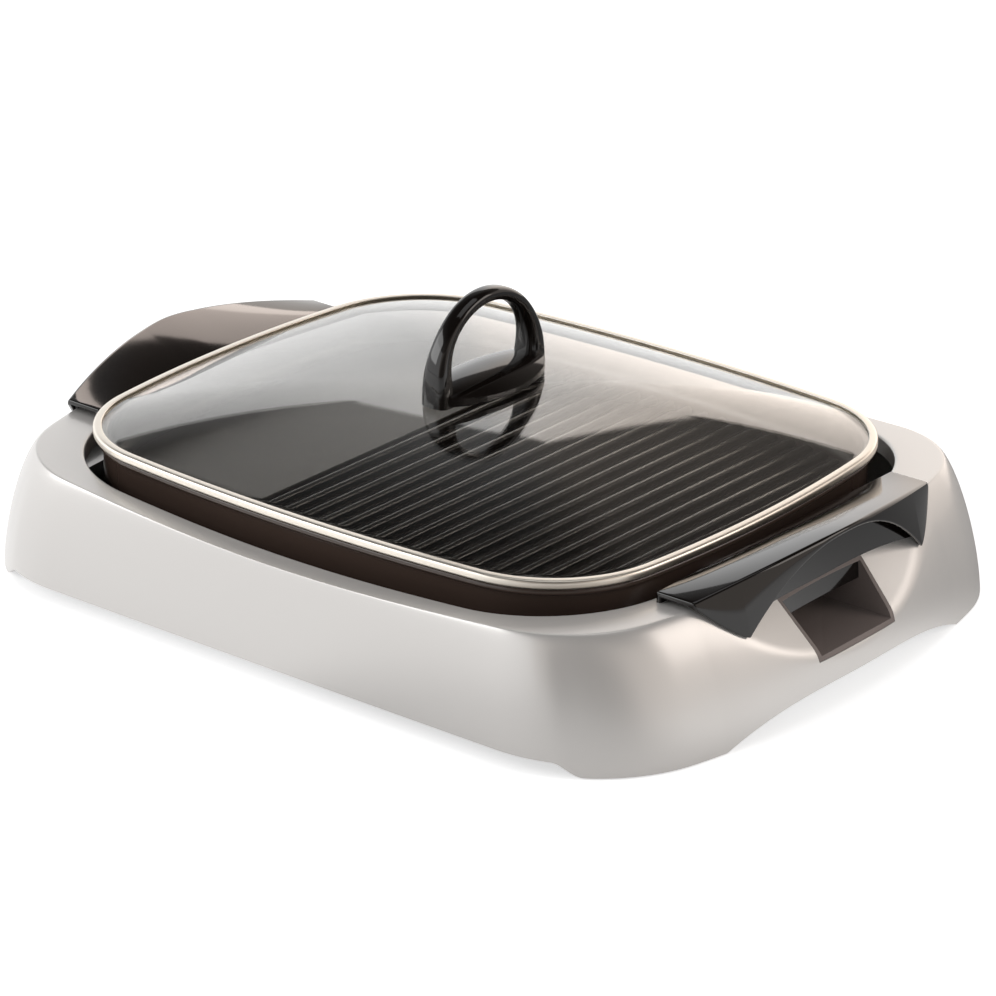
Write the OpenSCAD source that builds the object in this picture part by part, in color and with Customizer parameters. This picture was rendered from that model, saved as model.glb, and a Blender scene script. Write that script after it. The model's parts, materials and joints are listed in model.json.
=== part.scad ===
// Electric table grill with a lift-off glass lid, a lift-out ribbed plate and a drip tray.
// Millimetres. +Z is up, the long side runs along X, the front is at -Y.
// The origin is on the table, under the middle of the grill.

/* [Base housing] */
// How far each end spreads outward from the top edge down to the feet
foot_spread_x = 24.5; // [22:0.5:27]
// How far the front and back spread outward from the top edge down to the feet
foot_spread_y = 4; // [3:0.5:6]
// Corner radius at the feet
foot_corner = 78; // [70:1:84]
// Width of the top face at each end, from the opening to the edge
top_border_x = 27.6; // [26.8:0.2:28.4]
// Width of the top face at the front and back, from the opening to the edge
top_border_y = 13.6; // [12.6:0.2:14.6]
// Corner radius of the top edge
top_corner = 63; // [54:1:70]
// How far the front and back top edges bow outward
top_bow = 14; // [10:1:18]
// How far the two ends bow outward
end_bow = 33; // [26:1:36]
// Height of the top edge at the ends
base_height = 68.5; // [67:0.5:69.5]
// How far the top sags at the middle of the long sides
top_dip = 7; // [3:0.5:9]
// Wall of the housing
wall = 2.6; // [2:0.2:3.4]
// Height of the bottom edge along the front and back
front_gap = 7.6; // [5:0.2:9]
// Height of the arch between the feet at the ends
end_arch = 15; // [11:0.5:15.5]
// Height of the housing's corners above the table
corner_gap = 0.8; // [0.6:0.1:2]
// Half the distance between the feet at each end
arch_half = 97; // [90:1:104]

/* [Opening] */
// Distance from the plate's inner edge to the opening, at each end
opening_clear_x = 11.4; // [10.8:0.2:12.6]
// Distance from the plate's inner edge to the opening, at the front and back
opening_clear_y = 13.4; // [12:0.2:14.6]
// Corner radius of the opening
opening_corner = 73; // [64:0.5:78]
// How far the opening's long sides bow outward
opening_bow = 8.4; // [6:0.2:12]
// Height of the lip that hangs from the opening
lip_height = 9; // [6:0.5:12]

/* [End handles] */
// Length of a handle along the end
handle_span = 195.4; // [180:0.2:204]
// How far a handle reaches past the edge of the opening
handle_overhang = 1.8; // [0.6:0.2:2]
// Top of a handle at its two ends
handle_z = 73.7; // [72.4:0.1:74.8]
// Width of a handle at its two ends
handle_width = 23; // [22:0.2:26]
// How much wider a handle is at its middle
handle_bulge = 20.2; // [14:0.2:22]
// How much higher the outer edge is at the middle
handle_rise = 13.8; // [8:0.1:15]
// Half the distance between the two lower tips
tip_half = 72; // [64:0.5:76]
// Height of the lower tips
tip_z = 51; // [48:0.5:56]
// How far the tips stand out past the outer edge above them
tip_flare = 7.4; // [4:0.2:8.6]
// Thickness of a handle
handle_wall = 2.8; // [2.4:0.1:3.2]

/* [Finger scoops] */
// Radius of the scoop under each handle
scoop_radius = 480; // [420:10:560]
// Lean of the scoop from the vertical, in degrees
scoop_tilt = 44.6; // [42:0.1:48]
// How far the scoop lies inside the end of the top edge, at scoop_z
scoop_inset = 0; // [-2:0.2:3]
// Height at which scoop_inset is taken
scoop_z = 50.7; // [49:0.1:52]
// How far the wall at the back of each finger gap stands inside the end of the top edge
gap_wall_inset = 2; // [0:0.5:6]

/* [Control pocket] */
// Half width of the pocket at its floor
pocket_half = 31.5; // [28:0.5:34]
// Half width of the pocket at its roof
pocket_top_half = 34.9; // [34.5:0.1:38]
// Underside of the pocket
pocket_z = 27.5; // [25:0.5:30]
// Top of the pocket
pocket_top = 56; // [54:0.5:57]
// Distance from the end of the top edge in to the back of the pocket
pocket_inset = 24; // [21:0.5:26]
// Wall of the pocket
pocket_wall = 2.2; // [1.8:0.1:2.6]
// Half width of the window for the plug
window_half = 25; // [22:0.5:26]

/* [Cooking plate] */
// How far the plate sits from the middle, toward the end without the plug
plate_shift = 3; // [0:0.1:3.4]
// Inner length of the plate at its rim
plate_length = 350; // [336:1:364]
// Inner depth of the plate at its rim
plate_depth = 290; // [280:1:304]
// Corner radius inside the rim
plate_corner = 62; // [54:1:66]
// Top of the cooking floor
floor_z = 54; // [52:0.5:56]
// Thickness of the cooking floor
floor_t = 4.5; // [4:0.5:6]
// Thickness of the plate's side wall
plate_wall = 3; // [2.4:0.2:3.6]
// Height of the plate's flange above the table
flange_z = 75.2; // [74:0.1:77]
// Thickness of the flange
flange_t = 3.4; // [2.6:0.2:4]
// How far the flange stands out past the inner edge
flange_w = 5.8; // [5:0.2:6]
// Distance between ribs
rib_pitch = 11.8; // [10:0.2:14]
// Height of a rib above the floor
rib_h = 4.4; // [3:0.2:6]
// Width of a rib
rib_w = 4.2; // [3:0.2:5]
// Distance from the plate's end to the first rib
rib_first = 123; // [115:1:135]
// Least distance from the last rib to the plate's other end
rib_last = 13; // [12:1:25]
// Height of the flat zone above the floor
flat_h = 2.4; // [1:0.2:4]
// Distance between the ribs' ends and the plate's wall
channel_w = 9; // [7:0.5:12]
// Radius of the drain hole
drain_r = 5; // [4:0.5:6]

/* [Heating element] */
// Radius of the element's tube
element_r = 4; // [3:0.25:4.5]
// Radius of the element's bends, at the tube's centre
bend_r = 26; // [20:1:28]
// Distance from the plate's ends to the element's loop
loop_inset_x = 51; // [49:1:63]
// Distance from the plate's long sides to the element's loop
loop_inset_y = 67; // [61:1:73]
// Radius of a terminal pin
pin_r = 2.4; // [2:0.1:2.6]
// Radius of a pin's root, inside its collar
root_r = 1.8; // [1.4:0.1:1.9]
// How far the pins' tips stand past the plate's inner edge
pin_reach = 7; // [1:0.5:8]
// Length of a pin beyond its insulator
pin_length = 18; // [14:1:20]
// Half the distance between the two pins
pin_half = 17; // [15:0.5:18]
// Length of the ceramic collar round each pin
collar_length = 8; // [6:0.5:10]
// Bore of the probe tube
probe_bore = 3.4; // [3:0.1:4]
// Outer radius of the probe tube
probe_r = 4.6; // [4.4:0.1:5]
// Length of the probe tube
probe_length = 62; // [50:1:70]

/* [Heat shield and supports] */
// Top face of the heat shield
shield_z = 32.4; // [31.6:0.2:33]
// Sheet of the heat shield
shield_t = 1.2; // [0.8:0.1:1.6]
// How far the heat shield stays inside the plate's ends
shield_inset_x = 7; // [3:0.5:15]
// How far the heat shield stays inside the plate's long sides
shield_inset_y = 3; // [1:0.5:7]
// Height of the shield's upturned rim
shield_rim = 8; // [5:0.5:10]
// Distance from the plate's ends to the posts
post_inset_x = 35; // [29:1:39]
// Distance from the plate's long sides to the posts
post_inset_y = 61; // [57:1:67]
// Radius of a post
post_r = 9; // [8:0.5:10]
// Radius of a post's upper part
post_neck_r = 5; // [4:0.5:6]

/* [Bottom cover and feet] */
// Underside of the bottom cover
cover_z = 16.5; // [16:0.1:17]
// Sheet of the bottom cover
cover_t = 1.5; // [1:0.1:2]
// Width of a rubber foot, across its arc
foot_w = 12; // [9:0.5:14]
// Angle that a rubber foot spans round its corner
foot_angle = 48; // [40:1:52]
// Gap between a rubber foot and the housing's wall
foot_gap = 4; // [3.5:0.5:6]
// Height of a rubber foot
foot_h = 7; // [5:0.5:8]

/* [Drip tray] */
// Width of the drip tray
tray_width = 184; // [170:1:190]
// Length of the tray's pan, along Y
tray_length = 262; // [240:1:268]
// Height of the tray's pan
tray_h = 8.4; // [7:0.2:9]
// Sheet of the tray
tray_t = 1.2; // [0.8:0.1:1.4]
// Width of the rim that hangs on the rails
tray_rim = 6; // [5:0.5:7]
// Underside of the tray
tray_z = 20; // [19.6:0.1:20.4]
// Thickness of the tray's pull
pull_t = 9; // [8:0.5:11]

/* [Lid] */
// How far the lid's rim lies outside the plate's inner edge
lid_step = 3; // [1:0.2:4]
// Corner radius inside the rim
lid_corner = 64.3; // [58:0.1:68]
// How far the lid's long sides bow outward
lid_bow = 13.4; // [10:0.2:16]
// How far the lid's ends bow outward
lid_end_bow = 15.4; // [11:0.2:16]
// Width of the steel rim
rim_w = 4.6; // [4:0.2:5]
// Steel sheet of the rim
rim_t = 0.8; // [0.6:0.1:1]
// Rise of the glass above its rim
dome_h = 24; // [18:1:30]
// Thickness of the glass
glass_t = 2.8; // [2.4:0.1:3.4]
// Height of the lid handle above the glass
knob_h = 54.5; // [48:0.5:60]
// Length of the lid handle
knob_length = 86; // [76:1:94]
// Width of the lid handle's loop at its top
knob_top_w = 11; // [9:0.5:13]
// Width of the lid handle's loop at its foot
knob_foot_w = 17; // [15:0.5:20]
// Thickness of the loop
knob_t = 10; // [8:0.5:12]
// Width of the lid handle's oval foot
knob_base_w = 44; // [38:1:48]

/* [Fasteners] */
// Radius of a small screw's shank
screw_r = 1.5; // [1.2:0.1:1.7]
// Radius of a small screw's head
head_r = 3; // [2.6:0.1:3.4]
// Height of a small screw's head
head_h = 2.2; // [1.8:0.1:2.4]
// Radius of the lid screw
lid_screw_r = 2; // [1.8:0.1:2.4]

/* [Fits] */
// Gap between pieces that are seated on each other
seat_gap = 0.3; // [0.2:0.05:0.4]
// Clearance around a shank in its hole
hole_gap = 0.3; // [0.2:0.05:0.4]
// Gap around the drip tray's pull
pull_gap = 1; // [0.6:0.1:1.4]

/* [Hidden] */

$fn = 48;

// Lengths and depths, from the plate outward
opening_length = plate_length + 2 * opening_clear_x;
opening_depth = plate_depth + 2 * opening_clear_y;
top_length = opening_length + 2 * top_border_x;
top_depth = opening_depth + 2 * top_border_y;
foot_length = top_length + 2 * foot_spread_x;
foot_depth = top_depth + 2 * foot_spread_y;
lid_length = plate_length + 2 * lid_step;
lid_depth = plate_depth + 2 * lid_step;
shield_length = plate_length - 2 * shield_inset_x;
shield_depth = plate_depth - 2 * shield_inset_y;

// Places along X and Y, from the piece that each one belongs to
scoop_x = top_length / 2 - scoop_inset;
gap_wall_x = top_length / 2 - gap_wall_inset;
pocket_back = top_length / 2 - pocket_inset;
rib_start = rib_first - plate_length / 2;
rib_end = plate_length / 2 - rib_last;
loop_x = plate_length / 2 - loop_inset_x;
loop_y = plate_depth / 2 - loop_inset_y;
pin_tip = plate_length / 2 + pin_reach;
post_x = plate_length / 2 - post_inset_x;
post_y = plate_depth / 2 - post_inset_y;

// Steps along half a side and along a corner of each outline
side_steps = 5;
corner_steps = 9;
ring_n = 4 * (2 * side_steps + corner_steps);
// Levels up the housing's outer wall
wall_levels = 7;
// Small overlap where one cut or one union must pass a face
eps = 0.01;

// Curvature of an arc that bows by bow over a chord of twice half
function curvature(half, bow) = 2 * bow / (half * half + bow * bow);

// An outline with bowed sides: [half length, half depth, corner radius, side and end curvature]
function outline_shape(length, depth, corner, side_bow, end_bow) = [
    length / 2, depth / 2, corner, curvature(length / 2, side_bow), curvature(depth / 2, end_bow)
];
function grown(s, d) = [s[0] + d, s[1] + d, s[2] + d, s[3] / (1 + s[3] * d), s[4] / (1 + s[4] * d)];
function mix(p, q, t) = p + (q - p) * t;

function side_centre(s) = [0, s[1] - 1 / s[3]];
function end_centre(s) = [s[0] - 1 / s[4], 0];
// Centre of the corner arc that touches both bowed sides
function corner_centre(s) =
    let (p = side_centre(s), q = end_centre(s), d = norm(q - p), u = (q - p) / d,
         rp = 1 / s[3] - s[2], rq = 1 / s[4] - s[2],
         t = (rp * rp - rq * rq + d * d) / (2 * d), h = sqrt(rp * rp - t * t))
    p + u * t + h * [u[1], -u[0]];
function heading(v) = atan2(v[1], v[0]);
function arc(c, r, a0, a1, n) =
    [for (i = [0 : n - 1]) c + r * [cos(mix(a0, a1, i / n)), sin(mix(a0, a1, i / n))]];
function quadrant(s) =
    let (c = corner_centre(s), a_end = heading(c - end_centre(s)),
         a_side = heading(c - side_centre(s)))
    concat(arc(end_centre(s), 1 / s[4], 0, a_end, side_steps),
           arc(c, s[2], a_end, a_side, corner_steps),
           arc(side_centre(s), 1 / s[3], a_side, 90, side_steps), [[0, s[1]]]);
// Closed outline, anticlockwise from +X
function outline(s) =
    let (q = quadrant(s), n = len(q))
    concat([for (i = [0 : n - 2]) q[i]], [for (i = [n - 1 : -1 : 1]) [-q[i][0], q[i][1]]],
           [for (i = [0 : n - 2]) -q[i]], [for (i = [n - 1 : -1 : 1]) [q[i][0], -q[i][1]]]);
// Half the outline's depth at a distance x from the middle
function half_depth_at(s, x) =
    let (c = corner_centre(s), p = side_centre(s))
    abs(x) < c[0] + s[2] * (c[0] - p[0]) * s[3]
        ? p[1] + sqrt(1 / (s[3] * s[3]) - x * x)
        : c[1] + sqrt(max(0, s[2] * s[2] - (abs(x) - c[0]) * (abs(x) - c[0])));
// Point on the corner arc at 45 degrees
function corner_point(s) = corner_centre(s) + s[2] * [cos(45), sin(45)];

// Faces between successive rings of n points
function ring_faces(rings, n, closed) = [
    for (k = [0 : rings - (closed ? 1 : 2)], i = [0 : n - 1])
        let (a = k * n + i, b = k * n + (i + 1) % n,
             c = ((k + 1) % rings) * n + (i + 1) % n, d = ((k + 1) % rings) * n + i)
        each [[a, c, b], [a, d, c]]
];
// Solid between rings stacked upward, closed by a fan at each end
module loft(rings, low, high) {
    n = len(rings[0]);
    m = len(rings);
    caps = [for (i = [0 : n - 1])
        each [[m * n, i, (i + 1) % n], [m * n + 1, (m - 1) * n + (i + 1) % n, (m - 1) * n + i]]];
    polyhedron(points = concat([for (r = rings) each r], [low, high]),
               faces = concat(ring_faces(m, n, false), caps), convexity = 6);
}
// Hollow band whose rings close on themselves
module band(rings) {
    n = len(rings[0]);
    polyhedron(points = [for (r = rings) each r], faces = ring_faces(len(rings), n, true),
               convexity = 10);
}
module slab(s, z0, z1) translate([0, 0, z0]) linear_extrude(z1 - z0) polygon(outline(s));
function raised(pts, z) = [for (p = pts) [p[0], p[1], z]];

// The plate, its supports and the lid share a middle of their own
module on_plate() translate([-plate_shift, 0, 0]) children();

// Outlines
foot_shape = outline_shape(foot_length, foot_depth, foot_corner, 1, end_bow);
top_shape = outline_shape(top_length, top_depth, top_corner, top_bow, end_bow);
opening_shape = outline_shape(opening_length, opening_depth, opening_corner, opening_bow, lid_end_bow);
lid_shape = outline_shape(lid_length, lid_depth, lid_corner, lid_bow, lid_end_bow);
plate_shape = outline_shape(plate_length, plate_depth, plate_corner, lid_bow, lid_end_bow);
shield_shape = outline_shape(shield_length, shield_depth, plate_corner, lid_bow, lid_end_bow);

// Housing: how far the wall has leaned in at a share t of its height
function lean(t) = 1 - pow(1 - pow(t, 1.47), 0.72);
function housing_shape(t) = mix(foot_shape, top_shape, lean(t));
function share(v, limit) = min(1, abs(v) / limit);
function top_edge_z(x) = base_height - top_dip * pow(1 - pow(share(x, top_length / 2), 2), 2);
function smooth(t) = t * t * (3 - 2 * t);
function bottom_edge_z(p) =
    let (foot_start = foot_length / 2 - foot_corner * 0.77, foot_end = foot_start + 14)
    abs(p[1]) < arch_half && abs(p[0]) > foot_end
        ? corner_gap + (end_arch - corner_gap) * (1 - pow(share(p[1], arch_half), 3))
        : mix(front_gap, corner_gap,
              smooth(min(1, max(0, (abs(p[0]) - foot_start) / (foot_end - foot_start)))));
level_t = [for (k = [0 : wall_levels]) sin(90 * k / wall_levels)];
function wall_ring(k, inset) =
    let (pts = outline(grown(housing_shape(level_t[k]), -inset)), foot = outline(foot_shape))
    [for (i = [0 : ring_n - 1])
        [pts[i][0], pts[i][1],
         mix(bottom_edge_z(foot[i]), top_edge_z(pts[i][0]) - inset, level_t[k])]];
function top_ring(s, drop) = [for (p = outline(s)) [p[0], p[1], top_edge_z(p[0]) - drop]];

lip_shape = grown(opening_shape, wall);
front_y = half_depth_at(foot_shape, 0);

module housing_solid(swell) {
    loft(concat([for (k = [0 : wall_levels]) wall_ring(k, -swell)], [top_ring(opening_shape, -swell)]),
         [0, 0, front_gap], [0, 0, base_height - top_dip + swell]);
}
module housing_shell() {
    band(concat([for (k = [0 : wall_levels]) wall_ring(k, 0)],
                [top_ring(opening_shape, 0), top_ring(opening_shape, lip_height),
                 top_ring(lip_shape, lip_height), top_ring(lip_shape, wall)],
                [for (k = [wall_levels : -1 : 0]) wall_ring(k, wall)]));
}
// Space scooped out under the handle at the +X end
module scoop(skin) {
    reach = 62;
    translate([scoop_x, 0, scoop_z]) rotate([0, -scoop_tilt, 0])
        translate([scoop_radius, 0, -reach])
            cylinder(r = scoop_radius + skin, h = 2 * reach, $fn = 180);
}
module both_ends() {
    children();
    mirror([1, 0, 0]) children();
}
module four_corners(p) for (sx = [-1, 1], sy = [-1, 1]) translate([sx * p[0], sy * p[1], 0]) children();

// Screw with its head down and its point up; z is the face under which the head sits
module screw_up(z, length, r = screw_r) {
    difference() {
        union() {
            translate([0, 0, z]) cylinder(r = r, h = length);
            translate([0, 0, z - head_h]) cylinder(r = head_r, h = head_h);
        }
        for (a = [0, 90]) translate([0, 0, z - head_h]) rotate(a)
            cube([head_r * 1.2, head_r * 0.28, head_h], center = true);
    }
}

// Places of the cover's screws and of the bosses that take them
boss_r = 4.4;
boss_clear = 1.5;
boss_side_x = 112;
cover_top = cover_z + cover_t;
cover_shape = grown(housing_shape(cover_z / base_height), -wall - 0.6);
boss_side_y = min((half_depth_at(opening_shape, boss_side_x) + half_depth_at(top_shape, boss_side_x)) / 2,
                  half_depth_at(cover_shape, boss_side_x) - boss_r);
foot_centre = corner_centre(foot_shape);
foot_outer = foot_corner - wall - foot_gap;
boss_reach = (corner_point(opening_shape) + corner_point(top_shape)) / 2 - foot_centre;
boss_corner = foot_centre
    + boss_reach * min(1, (foot_outer - foot_w - boss_r - boss_clear) / norm(boss_reach));
screw_length = 12;
module boss_places() {
    four_corners([boss_side_x, boss_side_y]) children();
    four_corners(boss_corner) children();
}

// Tray slot in the rear wall
slot_half = tray_width / 2 + tray_rim + 5;
slot_low = tray_z - 2.5;
slot_high = tray_z + tray_h + tray_t + 2;

// Handle screws, one near each end of a handle
handle_top_x = opening_length / 2 - handle_overhang;
handle_screw_x = handle_top_x + 10;
handle_screw_y = handle_span / 2 - 13;
handle_screw_z = top_edge_z(handle_screw_x) - wall - seat_gap;

function pocket_profile(d) = [
    [-pocket_half - d, pocket_z - d], [pocket_half + d, pocket_z - d],
    [pocket_top_half + d, pocket_top + d], [-pocket_top_half - d, pocket_top + d]
];
module pocket_prism(x0, x1, d) {
    translate([x0, 0, 0]) rotate([90, 0, 90]) linear_extrude(x1 - x0) polygon(pocket_profile(d));
}

module base_housing() color("silver") difference() {
    union() {
        housing_shell();
        intersection() {
            housing_solid(0);
            both_ends() scoop(wall);
        }
        intersection() {
            housing_solid(-wall / 2);
            boss_places() translate([0, 0, cover_top]) cylinder(r = boss_r, h = base_height);
        }
    }
    both_ends() scoop(0);
    slab(opening_shape, cover_top, base_height + 20);
    pocket_prism(pocket_back - eps, foot_length / 2 + 10, seat_gap);
    translate([-slot_half, 0, slot_low]) cube([2 * slot_half, foot_depth, slot_high - slot_low]);
    boss_places() translate([0, 0, cover_top - eps])
        cylinder(r = screw_r + hole_gap, h = screw_length + 2);
    four_corners([handle_screw_x, handle_screw_y]) translate([0, 0, base_height - 12])
        cylinder(r = screw_r + hole_gap, h = 20);
}

// A handle's outer edge, skirt and finger arch at a distance y from its middle
function handle_share(y) = 1 - pow(share(y, handle_span / 2), 1.7);
function handle_edge_x(y) = handle_top_x + handle_width + handle_bulge * handle_share(y);
function handle_edge_z(y) = handle_z + handle_rise * handle_share(y);
function skirt_z(y) =
    abs(y) > tip_half
        ? mix(tip_z, handle_z - handle_wall,
              pow((abs(y) - tip_half) / (handle_span / 2 - tip_half), 1.34))
        : mix(handle_edge_z(0) - handle_wall - 0.1, tip_z, pow(abs(y) / tip_half, 2.1));
function flare(y, z) =
    tip_flare * (handle_edge_z(y) - z) / (handle_edge_z(tip_half) - tip_z);
// Place of the foot of the wall at the back of the finger gap
function gap_wall_foot(y) =
    let (tip_x = handle_edge_x(tip_half) + tip_flare - handle_wall - 1)
    abs(y) > tip_half ? tip_x + handle_edge_x(y) - handle_edge_x(tip_half)
                      : mix(gap_wall_x, tip_x, pow(abs(y) / tip_half, 2.5));
handle_low = base_height - 3;
gap_wall_low = scoop_z - 6;
gap_wall_lean = tip_flare * 0.85;
handle_steps = 28;
function handle_section(y) =
    let (x = handle_edge_x(y), z = handle_edge_z(y), zs = skirt_z(y), xs = x + flare(y, zs),
         t = handle_wall, soft = 1.2, a = [handle_top_x + t, handle_z - t],
         b = [x - t + flare(y, z - t), z - t], foot = gap_wall_foot(y), q = foot - gap_wall_lean,
         front = [q, mix(a[1], b[1], (q - a[0]) / (b[0] - a[0]))],
         back = [q - t, mix(a[1], b[1], (q - t - a[0]) / (b[0] - a[0]))],
         low = abs(y) < tip_half ? [[foot, gap_wall_low], [foot - t, gap_wall_low]]
                                 : [front - [0, 0.05], back - [0, 0.05]])
    [[handle_top_x, handle_z - soft], [handle_top_x + soft, handle_z], [x - soft, z],
     [x, z - soft], [xs, zs], [xs - t, zs], b, front, low[0], low[1], back, a,
     [handle_top_x + t, handle_low], [handle_top_x, handle_low]];
module handle_blank() {
    ys = [for (i = [0 : handle_steps]) mix(-handle_span / 2, handle_span / 2, i / handle_steps)];
    middle = [for (y = [ys[0], ys[handle_steps]]) [handle_top_x + handle_wall / 2, y, handle_z - 2]];
    loft([for (y = ys) [for (p = handle_section(y)) [p[0], y, p[1]]]], middle[0], middle[1]);
}
module handle() color([0.10, 0.09, 0.09]) difference() {
    union() {
        difference() {
            handle_blank();
            difference() {
                housing_solid(seat_gap);
                scoop(-seat_gap);
            }
        }
        for (sy = [-1, 1]) translate([handle_screw_x, sy * handle_screw_y, base_height + 0.1])
            cylinder(r = 4.6, h = handle_z - base_height - 1.4);
    }
    for (sy = [-1, 1]) translate([handle_screw_x, sy * handle_screw_y, base_height - 1])
        cylinder(r = screw_r + hole_gap, h = handle_z - base_height - 0.4);
}
module handle_right() handle();
module handle_left() mirror([1, 0, 0]) handle();
module handle_screws() color("gainsboro")
    four_corners([handle_screw_x, handle_screw_y])
        screw_up(handle_screw_z, handle_z - handle_screw_z - 2);

module control_pocket() color([0.13, 0.12, 0.12]) {
    leg_top = pocket_z + pocket_wall / 2;
    difference() {
        union() {
            difference() {
                intersection() {
                    pocket_prism(pocket_back, foot_length / 2 + 5, 0);
                    housing_solid(0);
                }
                scoop(0);
            }
            for (sy = [-1, 1]) translate([pocket_leg_x, sy * pocket_leg_y, cover_top])
                cylinder(r = boss_r, h = leg_top - cover_top);
        }
        pocket_prism(pocket_back + pocket_wall, foot_length / 2 + 10, -pocket_wall);
        translate([pocket_back - 1, -window_half, window_low])
            cube([pocket_wall + 2, 2 * window_half, window_high - window_low]);
        for (sy = [-1, 1]) translate([pocket_leg_x, sy * pocket_leg_y, cover_top - 1])
            cylinder(r = screw_r + hole_gap, h = leg_top - cover_top - 0.2);
    }
}
pocket_leg_x = pocket_back + 12;
pocket_leg_y = pocket_half - 9;
window_low = pocket_z + pocket_wall + 2;
window_high = pocket_top - pocket_wall - 2;
module pocket_screws() color("gainsboro")
    for (sy = [-1, 1]) translate([pocket_leg_x, sy * pocket_leg_y, 0])
        screw_up(cover_z, cover_t + pocket_z - cover_top - 1);

// Bottom cover, with an arc-shaped leg over each rubber foot
foot_heading = 26;
stem_r = 2.5;
stem_h = 4;
module corner_arc(width_in, z0, z1) {
    for (sx = [0, 1], sy = [0, 1]) mirror([sx, 0, 0]) mirror([0, sy, 0])
        translate([foot_centre[0], foot_centre[1], z0]) rotate(foot_heading - foot_angle / 2)
            rotate_extrude(angle = foot_angle, $fn = 96)
                translate([foot_outer - width_in, 0]) square([width_in, z1 - z0]);
}
stem_places = [for (a = [-1, 1]) let (t = foot_heading + a * foot_angle * 0.32)
    foot_centre + (foot_outer - foot_w / 2) * [cos(t), sin(t)]];
module stems() for (p = stem_places) translate([p[0], p[1], 0]) children();
rail_rivet_y = [-80, 20, 120];
rail_x = tray_width / 2 + 1;
rail_t = 1.5;
rail_foot = 10;
module rail_places() for (sx = [-1, 1], y = rail_rivet_y)
    translate([sx * (rail_x + rail_t + rail_foot / 2), y, 0]) children();
module bottom_cover() color("dimgray") difference() {
    union() {
        slab(cover_shape, cover_z, cover_top);
        corner_arc(foot_w, foot_h, cover_z + eps);
    }
    boss_places() hole_through(screw_r);
    on_plate() four_corners([post_x, post_y]) hole_through(screw_r);
    for (sy = [-1, 1]) translate([pocket_leg_x, sy * pocket_leg_y, 0]) hole_through(screw_r);
    rail_places() hole_through(rivet_r);
    for (sx = [0, 1], sy = [0, 1]) mirror([sx, 0, 0]) mirror([0, sy, 0]) stems()
        translate([0, 0, foot_h - eps]) cylinder(r = stem_r + hole_gap, h = stem_h + 0.5);
}
module hole_through(r) translate([0, 0, cover_z - 1]) cylinder(r = r + hole_gap, h = cover_t + 2);
module cover_screws() color("gainsboro") boss_places() screw_up(cover_z, screw_length);

module rubber_foot() color([0.08, 0.08, 0.08]) {
    translate([foot_centre[0], foot_centre[1], 0]) rotate(foot_heading - foot_angle / 2)
        rotate_extrude(angle = foot_angle, $fn = 96)
            translate([foot_outer - foot_w, 0]) square([foot_w, foot_h]);
    stems() translate([0, 0, foot_h - eps]) cylinder(r = stem_r, h = stem_h);
}
module foot_rear_right() rubber_foot();
module foot_rear_left() mirror([1, 0, 0]) rubber_foot();
module foot_front_right() mirror([0, 1, 0]) rubber_foot();
module foot_front_left() mirror([1, 0, 0]) mirror([0, 1, 0]) rubber_foot();

// Heat shield on the shoulders of the plate's posts
floor_low = floor_z - floor_t;
drain_place = [rib_start - rib_pitch / 2 - rib_w, plate_depth / 2 - channel_w - 28];
spout_wall = 1.5;
support_z = floor_low - 5.5;
module heat_shield() color("lightgray") on_plate() difference() {
    union() {
        slab(shield_shape, shield_z - shield_t, shield_z);
        difference() {
            slab(shield_shape, shield_z - shield_t, shield_z + shield_rim);
            slab(grown(shield_shape, -shield_t), shield_z - shield_t - 1, shield_z + shield_rim + 1);
        }
    }
    four_corners([post_x, post_y]) translate([0, 0, shield_z - shield_t - 1])
        cylinder(r = post_neck_r + hole_gap, h = shield_t + 2);
    translate([drain_place[0], drain_place[1], shield_z - shield_t - 1])
        cylinder(r = drain_r + spout_wall + 2, h = shield_t + 2);
    translate([shield_length / 2 - 20, -guard_half - 4, shield_z + 0.4])
        cube([30, 2 * guard_half + 8, shield_rim + 1]);
}
module plate_posts() color([0.55, 0.5, 0.42]) on_plate() four_corners([post_x, post_y]) difference() {
    union() {
        translate([0, 0, cover_top]) cylinder(r = post_r, h = shield_z - shield_t - cover_top);
        translate([0, 0, cover_top]) cylinder(r = post_neck_r, h = support_z - seat_gap - cover_top);
    }
    translate([0, 0, cover_top - 1]) cylinder(r = screw_r + hole_gap, h = screw_length + 2);
}
module post_screws() color("gainsboro") on_plate()
    four_corners([post_x, post_y]) screw_up(cover_z, screw_length);

// Drip tray, its rails and its pull
tray_back = front_y - 0.8 - pull_t;
tray_rim_z = tray_z + tray_h;
rivet_r = 1.5;
rail_y0 = tray_back - tray_length - 4;
rail_y1 = tray_back - 14;
module tray_rail() color("darkgray") difference() {
    union() {
        translate([rail_x, rail_y0, cover_top])
            cube([rail_t, rail_y1 - rail_y0, tray_rim_z - seat_gap - cover_top]);
        translate([rail_x, rail_y0, cover_top])
            cube([rail_t + rail_foot, rail_y1 - rail_y0, rail_t]);
    }
    for (y = rail_rivet_y) translate([rail_x + rail_t + rail_foot / 2, y, cover_top - 1])
        cylinder(r = rivet_r + hole_gap, h = rail_t + 2);
}
module tray_rail_right() tray_rail();
module tray_rail_left() mirror([1, 0, 0]) tray_rail();
module rivet(grip) {
    translate([0, 0, -1]) cylinder(r = rivet_r * 1.8, h = 1);
    cylinder(r = rivet_r, h = grip);
    translate([0, 0, grip]) cylinder(r = rivet_r * 1.8, h = 1);
}
module rail_rivets() color("gainsboro") rail_places() translate([0, 0, cover_z])
    rivet(cover_t + rail_t);
module tray_pan(inset, z0, z1)
    translate([-tray_width / 2 + inset, tray_back - tray_length + inset, z0])
        cube([tray_width - 2 * inset, tray_length - 2 * inset, z1 - z0]);
pull_rivet_x = tray_width * 0.35;
pull_rivet_z = tray_z + tray_h * 0.6;
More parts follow.
